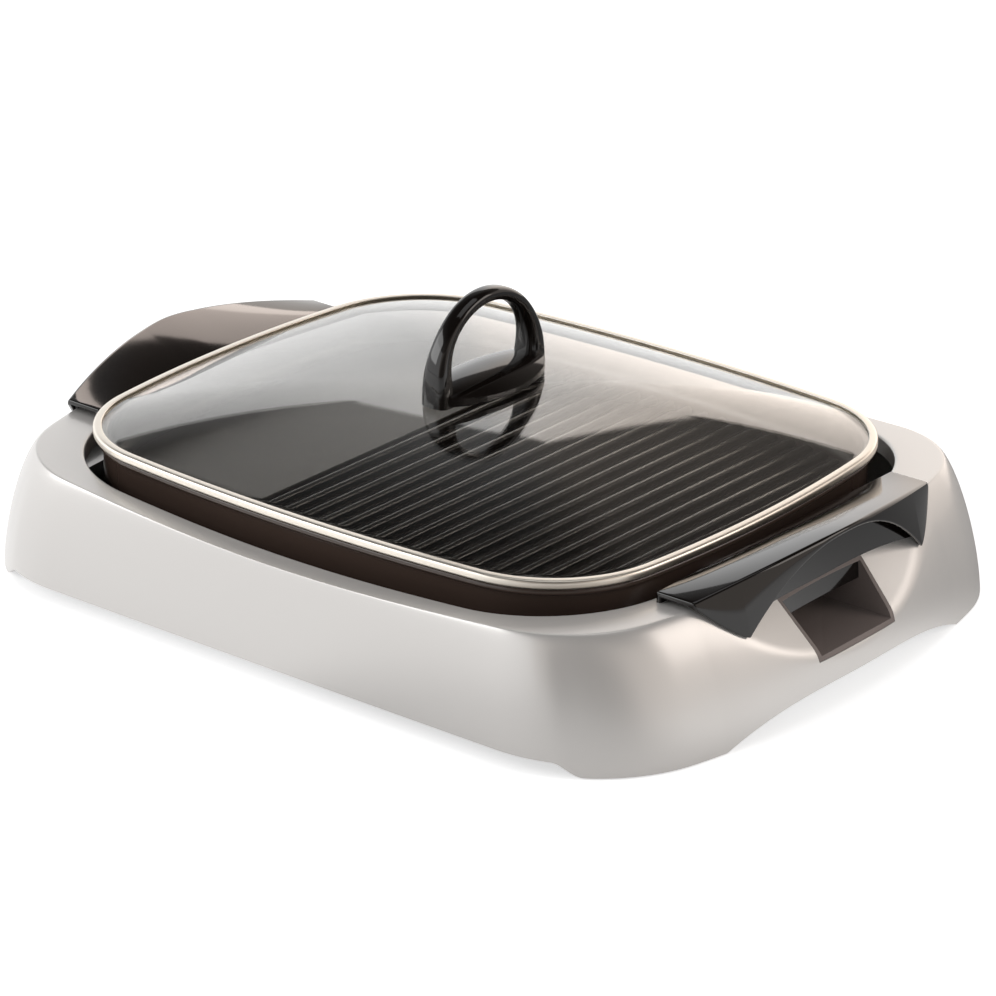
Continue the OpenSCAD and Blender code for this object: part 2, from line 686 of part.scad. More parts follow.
module drip_tray() color("lightsteelblue") difference() {
    union() {
        difference() {
            union() {
                tray_pan(0, tray_z, tray_rim_z);
                translate([-tray_width / 2 - tray_rim, tray_back - tray_length, tray_rim_z])
                    cube([tray_width + 2 * tray_rim, tray_length, tray_t]);
            }
            tray_pan(tray_t, tray_z + tray_t, tray_rim_z + tray_t + 1);
        }
    }
    for (sx = [-1, 1]) translate([sx * pull_rivet_x, tray_back - tray_t - 1, pull_rivet_z])
        rotate([-90, 0, 0]) cylinder(r = rivet_r + hole_gap, h = tray_t + 2);
}
module tray_pull() color("silver") difference() {
    translate([-slot_half + pull_gap, tray_back, slot_low + pull_gap])
        cube([2 * (slot_half - pull_gap), pull_t, slot_high - slot_low - 2 * pull_gap]);
    translate([-tray_width * 0.3, tray_back + pull_t, slot_low + pull_gap]) rotate([0, 90, 0])
        cylinder(r = pull_t * 0.6, h = tray_width * 0.6);
    for (sx = [-1, 1]) translate([sx * pull_rivet_x, tray_back - 1, pull_rivet_z])
        rotate([-90, 0, 0]) cylinder(r = rivet_r + hole_gap, h = pull_t * 0.6 + 1);
}
module pull_rivets() color("gainsboro")
    for (sx = [-1, 1]) translate([sx * pull_rivet_x, tray_back - tray_t, pull_rivet_z])
        rotate([-90, 0, 0]) {
            translate([0, 0, -1]) cylinder(r = rivet_r * 1.6, h = 1);
            cylinder(r = rivet_r, h = tray_t + pull_t * 0.5);
        }

// Cooking plate
element_z = floor_low - seat_gap - element_r;
flange_low = flange_z - flange_t;
rib_n = floor((rib_end - rib_start) / rib_pitch);
clamp_x = loop_x * 0.5;
clamp_bolt = element_r + 5;
clamp_t = 1.2;
clamp_face = element_z - element_r - seat_gap;
module clamp_bolts() for (sx = [-1, 1], sy = [-1, 1], b = [-1, 1])
    translate([sx * clamp_x, sy * loop_y + b * clamp_bolt, 0]) children();
module rib(x) {
    y = half_depth_at(grown(plate_shape, -channel_w), x);
    translate([x, 0, floor_z - eps]) {
        translate([-rib_w / 2, -y, 0]) cube([rib_w, 2 * y, rib_h - rib_w / 2]);
        translate([0, -y, rib_h - rib_w / 2]) rotate([-90, 0, 0]) cylinder(r = rib_w / 2, h = 2 * y);
    }
}
module grill_plate() color([0.16, 0.16, 0.17]) on_plate() difference() {
    union() {
        slab(grown(plate_shape, plate_wall), floor_low, floor_z);
        difference() {
            union() {
                slab(grown(plate_shape, plate_wall), floor_low, flange_z);
                slab(grown(plate_shape, flange_w), flange_low, flange_z);
            }
            slab(plate_shape, floor_low - 1, flange_z + 1);
        }
        intersection() {
            slab(grown(plate_shape, -channel_w), floor_z - eps, floor_z + flat_h);
            translate([-plate_length, -plate_depth, 0])
                cube([plate_length + rib_start - rib_pitch * 0.75, 2 * plate_depth, flange_z]);
        }
        for (i = [0 : rib_n]) rib(rib_start + i * rib_pitch);
        four_corners([post_x, post_y]) translate([0, 0, support_z])
            cylinder(r = 6.5, h = floor_low - support_z + eps);
        clamp_bolts() translate([0, 0, clamp_face])
            cylinder(r = 3.6, h = floor_low - clamp_face + eps);
        translate([drain_place[0], drain_place[1], tray_rim_z + tray_t + 0.8])
            cylinder(r = drain_r + spout_wall, h = floor_low - tray_rim_z - tray_t - 0.8 + eps);
    }
    translate([drain_place[0], drain_place[1], tray_rim_z])
        cylinder(r = drain_r, h = floor_z + 20 - tray_rim_z);
    clamp_bolts() translate([0, 0, clamp_face - 1])
        cylinder(r = screw_r + hole_gap, h = floor_low - clamp_face + 2);
    guard_bolts() translate([0, 0, floor_low - 1]) cylinder(r = screw_r + hole_gap, h = 4.2);
}

// Tube of the heating element: one loop whose ends run out to the terminals
lead_x = loop_x + bend_r;
collar_x = pin_tip - pin_length - collar_length;
module bar(p, q) {
    d = q - p;
    translate([p[0], p[1], element_z]) rotate([0, 90, heading(d)]) cylinder(r = element_r, h = norm(d));
}
module bend(c, a0) translate([c[0], c[1], element_z]) rotate(a0)
    rotate_extrude(angle = 90) translate([bend_r, 0]) circle(r = element_r);
module heating_element() color("dimgray") on_plate() {
    for (sy = [0, 1]) mirror([0, sy, 0]) {
        bar([lead_x, pin_half], [collar_x, pin_half]);
        bend([lead_x, pin_half + bend_r], 180);
        bar([loop_x, pin_half + bend_r], [loop_x, loop_y - bend_r]);
        bend([loop_x - bend_r, loop_y - bend_r], 0);
        bar([bend_r - loop_x, loop_y], [loop_x - bend_r, loop_y]);
        bend([bend_r - loop_x, loop_y - bend_r], 90);
    }
    bar([-loop_x, bend_r - loop_y], [-loop_x, loop_y - bend_r]);
}
module element_clamps() color("lightgray") on_plate()
    for (sx = [-1, 1], sy = [-1, 1]) translate([sx * clamp_x, sy * loop_y, clamp_face - clamp_t])
        difference() {
            translate([-6, -clamp_bolt - 5, 0]) cube([12, 2 * clamp_bolt + 10, clamp_t]);
            for (b = [-1, 1]) translate([0, b * clamp_bolt, -1])
                cylinder(r = screw_r + hole_gap, h = clamp_t + 2);
        }
module clamp_screws() color("gainsboro") on_plate() clamp_bolts()
    screw_up(clamp_face - clamp_t, clamp_t + floor_low - clamp_face - 0.5);

shoulder_x = collar_x + collar_length;
module pins(x0, x1, r) for (sy = [-1, 1]) translate([x0, sy * pin_half, element_z])
    rotate([0, 90, 0]) cylinder(r = r, h = x1 - x0);
module terminal_pins() color("silver") on_plate() {
    tip = pin_r * 0.4;
    pins(collar_x, shoulder_x + eps, root_r);
    pins(shoulder_x, pin_tip - tip, pin_r);
    for (sy = [-1, 1]) translate([pin_tip - tip, sy * pin_half, element_z]) rotate([0, 90, 0])
        cylinder(r1 = pin_r, r2 = pin_r - tip, h = tip);
}
module terminal_insulators() color("ivory") on_plate() difference() {
    pins(collar_x, shoulder_x, element_r);
    pins(collar_x - 1, shoulder_x + 1, root_r + 0.2);
}
guard_half = pin_half + 12;
guard_ear = 9;
guard_t = 1.2;
guard_low = element_z - element_r - 7;
guard_x0 = collar_x + 1;
guard_bolt_x = guard_x0 + 9;
module guard_bolts() for (sy = [-1, 1])
    translate([guard_bolt_x, sy * (guard_half + guard_ear / 2), 0]) children();
module terminal_guard() color("lightgray") on_plate() difference() {
    length = pin_tip - guard_x0;
    union() {
        translate([guard_x0, -guard_half, guard_low]) cube([length, 2 * guard_half, floor_low - guard_low]);
        translate([guard_x0, -guard_half - guard_ear, floor_low - guard_t])
            cube([18, 2 * (guard_half + guard_ear), guard_t]);
    }
    translate([guard_x0 - 1, -guard_half + guard_t, guard_low + guard_t])
        cube([length + 2, 2 * (guard_half - guard_t), floor_low]);
    guard_bolts() translate([0, 0, floor_low - 5]) cylinder(r = screw_r + hole_gap, h = 6);
}
module guard_screws() color("gainsboro") on_plate() guard_bolts() screw_up(floor_low - guard_t, guard_t + 2.8);
probe_z = floor_low - seat_gap - probe_r;
module probe_tube() color("silver") on_plate() difference() {
    translate([pin_tip - 6 - probe_length, 0, probe_z]) rotate([0, 90, 0])
        cylinder(r = probe_r, h = probe_length);
    translate([pin_tip - 4 - probe_length, 0, probe_z]) rotate([0, 90, 0])
        cylinder(r = probe_bore, h = probe_length);
}

// Lid: a glass dome in a steel rim, with a moulded handle screwed through its middle
rim_z = flange_z + seat_gap;
rim_h = glass_t + 2 * (rim_t + seat_gap);
glass_low = rim_z + rim_t + seat_gap;
glass_top = glass_low + glass_t;
apex_z = glass_top + dome_h;
dome_shares = [1, 0.95, 0.87, 0.76, 0.62, 0.46, 0.28, 0.1];
function dome_ring(q, drop) =
    raised([for (p = outline(grown(lid_shape, -1))) q * p],
           glass_top - drop + dome_h * (1 - pow(q, 2.3)));
module lid_glass() color([0.8, 0.88, 0.9, 0.35]) on_plate() difference() {
    edge = outline(grown(lid_shape, rim_w - rim_t - seat_gap));
    m = len(dome_shares);
    loft(concat([for (k = [m - 1 : -1 : 0]) dome_ring(dome_shares[k], glass_t)],
                [raised(edge, glass_low), raised(edge, glass_top)],
                [for (q = dome_shares) dome_ring(q, 0)]),
         [0, 0, apex_z - glass_t], [0, 0, apex_z]);
    translate([0, 0, apex_z - 10]) cylinder(r = lid_screw_r + hole_gap, h = 20);
}
module lid_rim() color("gainsboro") on_plate() difference() {
    slab(grown(lid_shape, rim_w), rim_z, rim_z + rim_h);
    slab(lid_shape, rim_z - 1, rim_z + rim_h + 1);
    slab(grown(lid_shape, rim_w - rim_t), rim_z + rim_t, rim_z + rim_h - rim_t);
}

gasket_t = 1;
knob_z = apex_z + seat_gap + gasket_t;
knob_top = apex_z + knob_h;
loop_r = (knob_length - knob_t) / 2;
spring_z = knob_top - knob_length / 2;
loop_steps = 20;
leg_z = apex_z + seat_gap;
// Centre line of the loop: [y, z, direction of the outer face]
loop_path = concat([[-loop_r, leg_z, 180], [-loop_r, mix(leg_z, spring_z, 0.5), 180]],
    [for (i = [0 : loop_steps]) let (a = 180 - 180 * i / loop_steps)
        [loop_r * cos(a), spring_z + loop_r * sin(a), a]],
    [[loop_r, mix(leg_z, spring_z, 0.5), 0], [loop_r, leg_z, 0]]);
section_steps = 16;
function soft_power(v) = sign(v) * pow(abs(v), 0.7);
function loop_section(p) =
    let (w = mix(knob_foot_w, knob_top_w, smooth(min(1, max(0, (p[1] - leg_z) / (knob_h * 0.6))))))
    [for (i = [0 : section_steps - 1])
        let (a = 360 * i / section_steps, along = w / 2 * soft_power(sin(a)),
             out = knob_t / 2 * soft_power(cos(a)))
        [along, p[0] + out * cos(p[2]), p[1] + out * sin(p[2])]];
function foot_ring(q, z) = [for (i = [0 : 39]) let (a = 9 * i)
    [q * knob_base_w / 2 * cos(a), q * (knob_length / 2 - 1) * sin(a), z + 3 * q * q * pow(sin(a), 2)]];
insert_r = 3.5;
insert_h = 6.5;
module lid_handle() color([0.07, 0.05, 0.05]) on_plate() difference() {
    union() {
        loft([for (p = loop_path) loop_section(p)], [0, -loop_r, leg_z], [0, loop_r, leg_z]);
        loft([[for (p = foot_ring(1, 0)) [p[0], p[1], knob_z]], foot_ring(1, knob_z + 3),
              foot_ring(0.92, knob_z + 5), foot_ring(0.7, knob_z + 7.5), foot_ring(0.35, knob_z + 9)],
             [0, 0, knob_z], [0, 0, knob_z + 9.4]);
    }
    translate([0, 0, knob_z - 1]) cylinder(r = insert_r + 0.2, h = insert_h + 1.2);
}
module ring(r_out, r_in, z, h) translate([0, 0, z]) difference() {
    cylinder(r = r_out, h = h);
    translate([0, 0, -1]) cylinder(r = r_in, h = h + 2);
}
module handle_insert() color("goldenrod") on_plate() ring(insert_r, lid_screw_r + 0.2, knob_z, insert_h);
module handle_gasket() color("black") on_plate() ring(14, lid_screw_r + hole_gap, apex_z + seat_gap, gasket_t);
washer_t = 1.2;
washer_z = apex_z - glass_t - seat_gap - washer_t;
module lid_washer() color("gainsboro") on_plate() ring(8, lid_screw_r + 0.2, washer_z, washer_t);
module lid_screw() color("gainsboro") on_plate()
    screw_up(washer_z, knob_z + insert_h - 1 - washer_z, lid_screw_r);

base_housing();
handle_right();
handle_left();
handle_screws();
control_pocket();
pocket_screws();
bottom_cover();
cover_screws();
foot_front_left();
foot_front_right();
foot_rear_left();
foot_rear_right();
heat_shield();
plate_posts();
post_screws();
tray_rail_left();
tray_rail_right();
rail_rivets();
drip_tray();
tray_pull();
pull_rivets();
grill_plate();
heating_element();
element_clamps();
clamp_screws();
terminal_pins();
terminal_insulators();
terminal_guard();
guard_screws();
probe_tube();
lid_glass();
lid_rim();
lid_handle();
handle_insert();
handle_gasket();
lid_washer();
lid_screw();
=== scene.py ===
"""Electric table grill with a lift-off glass lid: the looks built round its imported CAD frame.

The script is laid out as an add-on. Sizes and colours are properties, each piece has an operator, and main()
runs the operators in order. Lengths inside the geometry functions are in millimetres.
"""
import json
from functools import partial
from math import cos, pi, radians, sin

import bmesh
import bpy
import numpy as np
from bpy.props import FloatProperty, FloatVectorProperty, PointerProperty
from mathutils import Matrix, Vector


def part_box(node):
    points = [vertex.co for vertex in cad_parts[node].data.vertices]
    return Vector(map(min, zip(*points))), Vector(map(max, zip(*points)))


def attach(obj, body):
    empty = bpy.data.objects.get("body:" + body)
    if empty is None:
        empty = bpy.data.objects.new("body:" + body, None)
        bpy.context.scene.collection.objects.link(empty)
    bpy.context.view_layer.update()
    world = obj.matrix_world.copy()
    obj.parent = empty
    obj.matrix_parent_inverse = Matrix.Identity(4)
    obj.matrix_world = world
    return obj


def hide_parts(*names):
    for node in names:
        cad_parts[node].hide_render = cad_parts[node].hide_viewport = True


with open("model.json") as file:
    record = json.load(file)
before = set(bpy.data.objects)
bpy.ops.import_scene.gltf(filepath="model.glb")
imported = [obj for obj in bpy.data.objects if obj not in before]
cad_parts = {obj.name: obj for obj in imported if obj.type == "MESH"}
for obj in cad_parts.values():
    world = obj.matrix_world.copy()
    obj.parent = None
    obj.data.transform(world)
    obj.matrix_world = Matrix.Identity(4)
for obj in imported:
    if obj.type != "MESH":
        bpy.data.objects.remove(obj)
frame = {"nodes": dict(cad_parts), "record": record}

bl_info = {
    "name": "Electric table grill",
    "version": (1, 0, 0),
    "blender": (4, 5, 0),
    "location": "View3D > Sidebar > Grill",
    "description": "Builds the looks of an electric table grill round its packed CAD frame",
    "category": "Object",
}

MM = 0.001


def length(name, description, millimetres):
    """A length property whose default is given in millimetres."""
    return FloatProperty(name=name, description=description, default=millimetres * MM, unit="LENGTH",
                         subtype="DISTANCE", precision=4)


def linear(code):
    """Linear RGB of an sRGB hex colour."""
    parts = [int(code[i:i + 2], 16) / 255 for i in (1, 3, 5)]
    return tuple(c / 12.92 if c <= 0.04045 else ((c + 0.055) / 1.055) ** 2.4 for c in parts)


def colour(name, description, code):
    """A colour property whose default is an sRGB hex colour."""
    return FloatVectorProperty(name=name, description=description, default=linear(code), subtype="COLOR",
                               size=3, min=0, max=1)


class HousingSizes(bpy.types.PropertyGroup):
    """Sizes of the silver housing"""

    foot_length: length("Foot length", "Length over the feet", 477)
    foot_depth: length("Foot depth", "Depth over the feet", 352)
    foot_corner: length("Foot corner", "Corner radius at the feet", 78)
    foot_bow: length("Foot bow", "How far the long sides bow outward at the feet", 1)
    top_length: length("Top length", "Length over the top edge", 428)
    top_depth: length("Top depth", "Depth over the top edge", 344)
    top_corner: length("Top corner", "Corner radius of the top edge", 63)
    top_bow: length("Top bow", "How far the long top edges bow outward", 14)
    end_bow: length("End bow", "How far the two ends bow outward", 33)
    height: length("Height", "Height of the top edge at the ends", 68.5)
    dip: length("Dip", "How far the top sags at the middle of the long sides", 7)
    wall: length("Wall", "Wall of the housing", 2.6)
    front_gap: length("Front gap", "Height of the bottom edge along the front and back", 7.6)
    end_arch: length("End arch", "Height of the arch between the feet at the ends", 15)
    corner_gap: length("Corner gap", "Height of the corners above the table", 0.8)
    arch_half: length("Arch half", "Half the distance between the feet at each end", 97)
    opening_length: length("Opening length", "Length of the opening for the plate", 372.8)
    opening_depth: length("Opening depth", "Depth of the opening for the plate", 316.8)
    opening_corner: length("Opening corner", "Corner radius of the opening", 73)
    opening_bow: length("Opening bow", "How far the opening's long sides bow outward", 8.4)
    lip_height: length("Lip", "Height of the lip that hangs from the opening", 9)
    lip_edge: length("Lip edge", "Radius of the edge round the opening", 1.1)
    scoop_radius: length("Scoop radius", "Radius of the finger scoop under each handle", 480)
    scoop_tilt: FloatProperty(name="Scoop tilt", description="Lean of the scoop from the vertical",
                              default=radians(44.6), unit="ROTATION", subtype="ANGLE")
    scoop_x: length("Scoop place", "Distance from the middle to the scoop", 214)
    scoop_z: length("Scoop height", "Height at which the scoop's place is taken", 50.7)
    scoop_soft: length("Scoop fold", "Softness of the fold round the scoop", 2.2)
    slot_half: length("Slot", "Half the length of the tray's slot in the rear wall", 103)
    slot_low: length("Slot low", "Lower edge of the tray's slot", 17.5)
    slot_high: length("Slot high", "Upper edge of the tray's slot", 31.6)


class HandleSizes(bpy.types.PropertyGroup):
    """Sizes of the end handles and the pocket"""

    span: length("Span", "Length of an end handle", 195.4)
    overhang: length("Overhang", "How far a handle reaches past the edge of the opening", 1.8)
    end_z: length("End height", "Top of a handle at its two ends", 73.7)
    width: length("Width", "Width of a handle at its ends", 23)
    bulge: length("Bulge", "How much wider a handle is at its middle", 20.2)
    rise: length("Rise", "How much higher the outer edge is at the middle", 13.8)
    tip_half: length("Tip half", "Half the distance between the two lower tips", 72)
    tip_z: length("Tip height", "Height of the lower tips", 51)
    tip_flare: length("Tip flare", "How far the tips stand out past the outer edge above them", 7.4)
    wall: length("Wall", "Thickness of a handle", 2.8)
    gap_wall_x: length("Gap wall", "Distance from the middle to the wall behind the finger gap", 212)
    edge: length("Edge", "Radius of a handle's outer edges", 1.9)
    pocket_half: length("Pocket half", "Half width of the control pocket at its floor", 31.5)
    pocket_top_half: length("Pocket top half", "Half width of the control pocket at its roof", 34.9)
    pocket_z: length("Pocket height", "Underside of the control pocket", 27.5)
    pocket_top: length("Pocket top", "Top of the control pocket", 56)
    pocket_back: length("Pocket back", "Distance from the middle to the back of the pocket", 190)
    pocket_wall: length("Pocket wall", "Wall of the control pocket", 2.2)
    window_half: length("Window half", "Half width of the window for the plug", 25)


class PlateSizes(bpy.types.PropertyGroup):
    """Sizes of the cooking plate"""

    shift: length("Shift", "How far the plate and lid sit from the middle", 3)
    length: length("Length", "Inner length of the plate at its rim", 350)
    depth: length("Depth", "Inner depth of the plate at its rim", 290)
    corner: length("Corner", "Corner radius inside the rim", 62)
    floor_z: length("Floor", "Top of the cooking floor", 54)
    floor_t: length("Floor thickness", "Thickness of the cooking floor", 4.5)
    wall: length("Wall", "Thickness of the side wall", 3)
    flange_z: length("Flange", "Height of the flange above the table", 75.2)
    flange_t: length("Flange thickness", "Thickness of the flange", 3.4)
    flange_w: length("Flange width", "How far the flange stands out past the inner edge", 5.8)
    floor_edge: length("Floor edge", "Radius between the floor and the side wall", 7)
    rib_pitch: length("Rib pitch", "Distance between ribs", 11.8)
    rib_h: length("Rib height", "Height of a rib above the floor", 4.4)
    rib_w: length("Rib width", "Width of a rib", 4.2)
    rib_start: length("First rib", "Place of the first rib", -52)
    rib_end: length("Last rib", "Place beyond which there are no more ribs", 162)
    flat_h: length("Flat zone", "Height of the flat zone above the floor", 2.4)
    channel_w: length("Channel", "Distance between the ribs' ends and the wall", 9)
    drain_r: length("Drain", "Radius of the drain hole", 5)


class LidSizes(bpy.types.PropertyGroup):
    """Sizes of the lid and its handle"""

    length: length("Length", "Length of the glass inside its rim", 356)
    depth: length("Depth", "Depth of the glass inside its rim", 296)
    corner: length("Corner", "Corner radius inside the rim", 64.3)
    bow: length("Bow", "How far the long sides bow outward", 13.4)
    end_bow: length("End bow", "How far the ends bow outward", 15.4)
    rim_w: length("Rim width", "Width of the steel rim", 4.6)
    rim_t: length("Rim sheet", "Steel sheet of the rim", 0.8)
    rim_z: length("Rim height", "Underside of the rim above the table", 75.5)
    rim_h: length("Rim depth", "Height of the rim", 5)
    dome_h: length("Dome", "Rise of the glass above its rim", 24)
    glass_t: length("Glass", "Thickness of the glass", 2.8)
    gap: length("Gap", "Gap between pieces seated on each other", 0.3)
    knob_h: length("Handle height", "Height of the handle above the glass", 54.5)
    knob_length: length("Handle length", "Length of the handle", 86)
    knob_top_w: length("Loop top", "Width of the loop at its top", 11)
    knob_foot_w: length("Loop foot", "Width of the loop at its foot", 17)
    knob_t: length("Loop thickness", "Thickness of the loop", 10)
    knob_base_w: length("Foot width", "Width of the handle's oval foot", 44)


class Colours(bpy.types.PropertyGroup):
    """Colours of the finishes"""

    silver: colour("Silver", "Painted silver of the housing", "#dedbd8")
    black: colour("Black", "Gloss black moulding of the handles", "#120e0c")
    # The pocket's dark moulding is drawn a lighter grey-brown than it is: painted light falling into the
    # pocket
    dark: colour("Dark", "Fine-grained dark moulding of the pocket", "#7a6f6b")
    non_stick: colour("Coating", "Non-stick coating of the plate", "#201c1a")
    # A brown painted reflection on the plate's black outer wall, not a colour of its own
    wall_painted_reflection: colour("Enamel", "Enamel on the plate's outer wall", "#4e4039")
    steel: colour("Steel", "Brushed and polished steel", "#cfccc6")
    rim: colour("Rim", "Satin steel of the lid's rim", "#ece5da")
    sheet: colour("Sheet", "Bright aluminised sheet", "#c4c4c2")
    cover: colour("Cover", "Zinc-coated sheet of the bottom cover", "#8d8f90")
    rubber: colour("Rubber", "Rubber of the feet", "#161616")
    ceramic: colour("Ceramic", "Insulators round the pins", "#e7e0cf")
    element: colour("Element", "Oxidised sheath of the heating element", "#4a4340")
    brass: colour("Brass", "Threaded insert", "#c9a24c")
    glass: colour("Glass", "Tempered clear glass", "#fbfaf7")
    floor: colour("Floor", "Floor of the stage", "#f4f4f4")


# Geometry, in millimetres

END_STEPS, CORNER_STEPS, SIDE_STEPS = 60, 44, 28  # points along a quarter of an outline
CORNER_REACH = 0.45  # share of a side that a rounded corner may take up
CORNER_FILL = 0.12  # how far a rounded corner is flattened toward its chord
WELD = 0.002  # points closer than this are one


def mm(group, *names):
    """Values of length properties, in millimetres."""
    return [getattr(group, n) / MM for n in names]


def mix(p, q, t):
    """From p at t = 0 to q at t = 1."""
    return p + (q - p) * t


def smooth(t):
    """From 0 to 1 with no kink at either end."""
    t = np.clip(t, 0, 1)
    return t * t * (3 - 2 * t)


def curvature(half, bow):
    """One over the radius of an arc whose chord and rise are given."""
    return 2 * bow / (half * half + bow * bow)


def outline_shape(long, deep, corner, side_bow, end_bow):
    """An outline with bowed sides: half length, half depth, corner radius and the two curvatures."""
    return np.array([long / 2, deep / 2, corner, curvature(long / 2, side_bow), curvature(deep / 2, end_bow)])


def grown(s, d):
    """An outline moved outward by d."""
    return np.array([s[0] + d, s[1] + d, s[2] + d, s[3] / (1 + s[3] * d), s[4] / (1 + s[4] * d)])


def arc_centres(s):
    """Centres of the end's arc, the long side's arc and the corner's arc."""
    end, side = np.array([s[0] - 1 / s[4], 0]), np.array([0, s[1] - 1 / s[3]])
    d = np.linalg.norm(end - side)
    u = (end - side) / d
    side_r, end_r = 1 / s[3] - s[2], 1 / s[4] - s[2]
    t = (side_r ** 2 - end_r ** 2 + d * d) / (2 * d)
    h = np.sqrt(side_r ** 2 - t * t)
    return end, side, side + u * t + h * np.array([u[1], -u[0]])


def outline(s):
    """Points round an outline, anticlockwise from +X."""
    end, side, corner = arc_centres(s)
    a = np.arctan2(*(corner - end)[::-1])
    b = np.arctan2(*(corner - side)[::-1])
    spans = [(end, 1 / s[4], 0, a, END_STEPS), (corner, s[2], a, b, CORNER_STEPS),
             (side, 1 / s[3], b, pi / 2, SIDE_STEPS)]
    q = [c + r * np.array([cos(t), sin(t)]) for c, r, a0, a1, n in spans
         for t in np.linspace(a0, a1, n, endpoint=False)]
    q = np.array(q + [[0, s[1]]])
    return np.concatenate([q[:-1], (q * [-1, 1])[:0:-1], -q[:-1], (q * [1, -1])[:0:-1]])


def half_depth_at(s, x):
    """Half the outline's depth at a distance x from the middle."""
    side, corner = arc_centres(s)[1:]
    x = abs(x)
    if x < corner[0] + s[2] * corner[0] * s[3]:
        return side[1] + np.sqrt(s[3] ** -2 - x * x)
    return corner[1] + np.sqrt(max(0, s[2] ** 2 - (x - corner[0]) ** 2))


def raised(points, z):
    """Plane points lifted to a height."""
    return np.column_stack([points, np.broadcast_to(z, len(points))])


def rounded(points, radii, steps=5):
    """A polygon in a plane with each corner turned into an arc of its radius."""
    points, out = np.asarray(points, float), []
    n = len(points)
    for i in range(n):
        p, r = points[i], radii[i]
        before, after = points[i - 1] - p, points[(i + 1) % n] - p
        lb, la = max(1e-6, np.linalg.norm(before)), max(1e-6, np.linalg.norm(after))
        b, a = before / lb, after / la
        half = np.arccos(np.clip(b @ a, -1, 1)) / 2
        reach = min(r / np.tan(half), CORNER_REACH * lb, CORNER_REACH * la) if r else 0
        q0, q1 = p + b * reach, p + a * reach
        middle = mix(p, (q0 + q1) / 2, CORNER_FILL)
        for t in np.linspace(0, 1, steps):
            out.append((1 - t) ** 2 * q0 + 2 * t * (1 - t) * middle + t * t * q1)
    return np.array(out)


def drawn_in(points, d):
    """A polygon whose points are moved inward by d."""
    p = np.asarray(points, float)
    along = np.roll(p, -1, 0) - np.roll(p, 1, 0)
    along /= np.maximum(1e-9, np.linalg.norm(along, axis=1))[:, None]
    x, y = p.T
    turn = np.sign(np.sum(x * np.roll(y, -1) - np.roll(x, -1) * y))
    return p + d * turn * np.column_stack([-along[:, 1], along[:, 0]])


class Skin:
    """Points and faces gathered for one mesh."""

    def __init__(self):
        self.points, self.faces = [], []

    def add(self, points):
        """Adds points and returns the number of the first."""
        start = len(self.points)
        self.points += [tuple(p) for p in points]
        return start

    def rings(self, rings, low=None, high=None, closed=False):
        """Joins rings of equal length. low and high close the ends: a point for a fan, True for one face."""
        n, m = len(rings[0]), len(rings)
        starts = [self.add(r) for r in rings]
        for k in range(m if closed else m - 1):
            a, b = starts[k], starts[(k + 1) % m]
            self.faces += [(a + i, a + (i + 1) % n, b + (i + 1) % n, b + i) for i in range(n)]
        for end, start in ((low, starts[0]), (high, starts[-1])):
            if end is True:
                self.faces.append(tuple(range(start, start + n)))
            elif end is not None:
                tip = self.add([end])
                self.faces += [(tip, start + i, start + (i + 1) % n) for i in range(n)]
        return self

    def cylinder(self, x, y, z0, z1, r, steps=48, edge=0.0):
        """Upright cylinder whose ends have a small bevel."""
        turn = np.linspace(0, 2 * pi, steps, endpoint=False)
        unit = np.column_stack([np.cos(turn), np.sin(turn)])
        levels = [(z0, r), (z1, r)]
        if edge:
            levels = [(z0, r - edge), (z0 + edge, r), (z1 - edge, r), (z1, r - edge)]
        return self.rings([raised([x, y] + unit * q, z) for z, q in levels], True, True)

    def mesh_object(self, name, sharp=35):
        """The gathered faces as one object, smooth except at its sharp edges."""
        mesh = bpy.data.meshes.new(name)
        mesh.from_pydata([Vector(p) * MM for p in self.points], [], self.faces)
        bm = bmesh.new()
        bm.from_mesh(mesh)
        bmesh.ops.remove_doubles(bm, verts=bm.verts, dist=WELD * MM)
        bmesh.ops.recalc_face_normals(bm, faces=bm.faces)
        bm.to_mesh(mesh)
        bm.free()
        mesh.shade_smooth()
        mesh.set_sharp_from_angle(angle=radians(sharp))
        obj = bpy.data.objects.new(name, mesh)
        bpy.context.scene.collection.objects.link(obj)
        return obj


def apply_modifiers(obj):
    """Bakes an object's modifiers into its mesh."""
    graph = bpy.context.evaluated_depsgraph_get()
    mesh = bpy.data.meshes.new_from_object(obj.evaluated_get(graph))
    old = obj.data
    obj.modifiers.clear()
    obj.data = mesh
    bpy.data.meshes.remove(old)


def carve(obj, cutter, operation="DIFFERENCE", sharp=35):
    """Cuts, joins or trims obj with cutter, which is then removed."""
    modifier = obj.modifiers.new("carve", "BOOLEAN")
    modifier.operation, modifier.object, modifier.solver = operation, cutter, "MANIFOLD"
    apply_modifiers(obj)
    bpy.data.objects.remove(cutter)
    obj.data.set_sharp_from_angle(angle=radians(sharp))
    return obj


def bevelled(obj, width):
    """Rounds an object's sharp edges."""
    modifier = obj.modifiers.new("bevel", "BEVEL")
    modifier.width, modifier.segments = width * MM, 3
    modifier.limit_method, modifier.angle_limit = "ANGLE", radians(40)
    modifier.harden_normals = False
    apply_modifiers(obj)
    obj.data.set_sharp_from_angle(angle=radians(50))
    return obj


def place(obj, body, slot, node_name, finish=None):
    """Puts a piece on its body in place of its CAD node, and gives it the finish of its slot, or another."""
    obj.data.materials.clear()
    obj.data.materials.append(finish_material(finish or slot))
    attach(obj, body)
    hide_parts(node_name)


def shifted(obj):
    """Moves a piece that was built round the origin to the middle of the plate."""
    shift = mm(bpy.context.scene.grill_plate, "shift")[0]
    obj.data.transform(Matrix.Translation((-shift * MM, 0, 0)))
    return obj


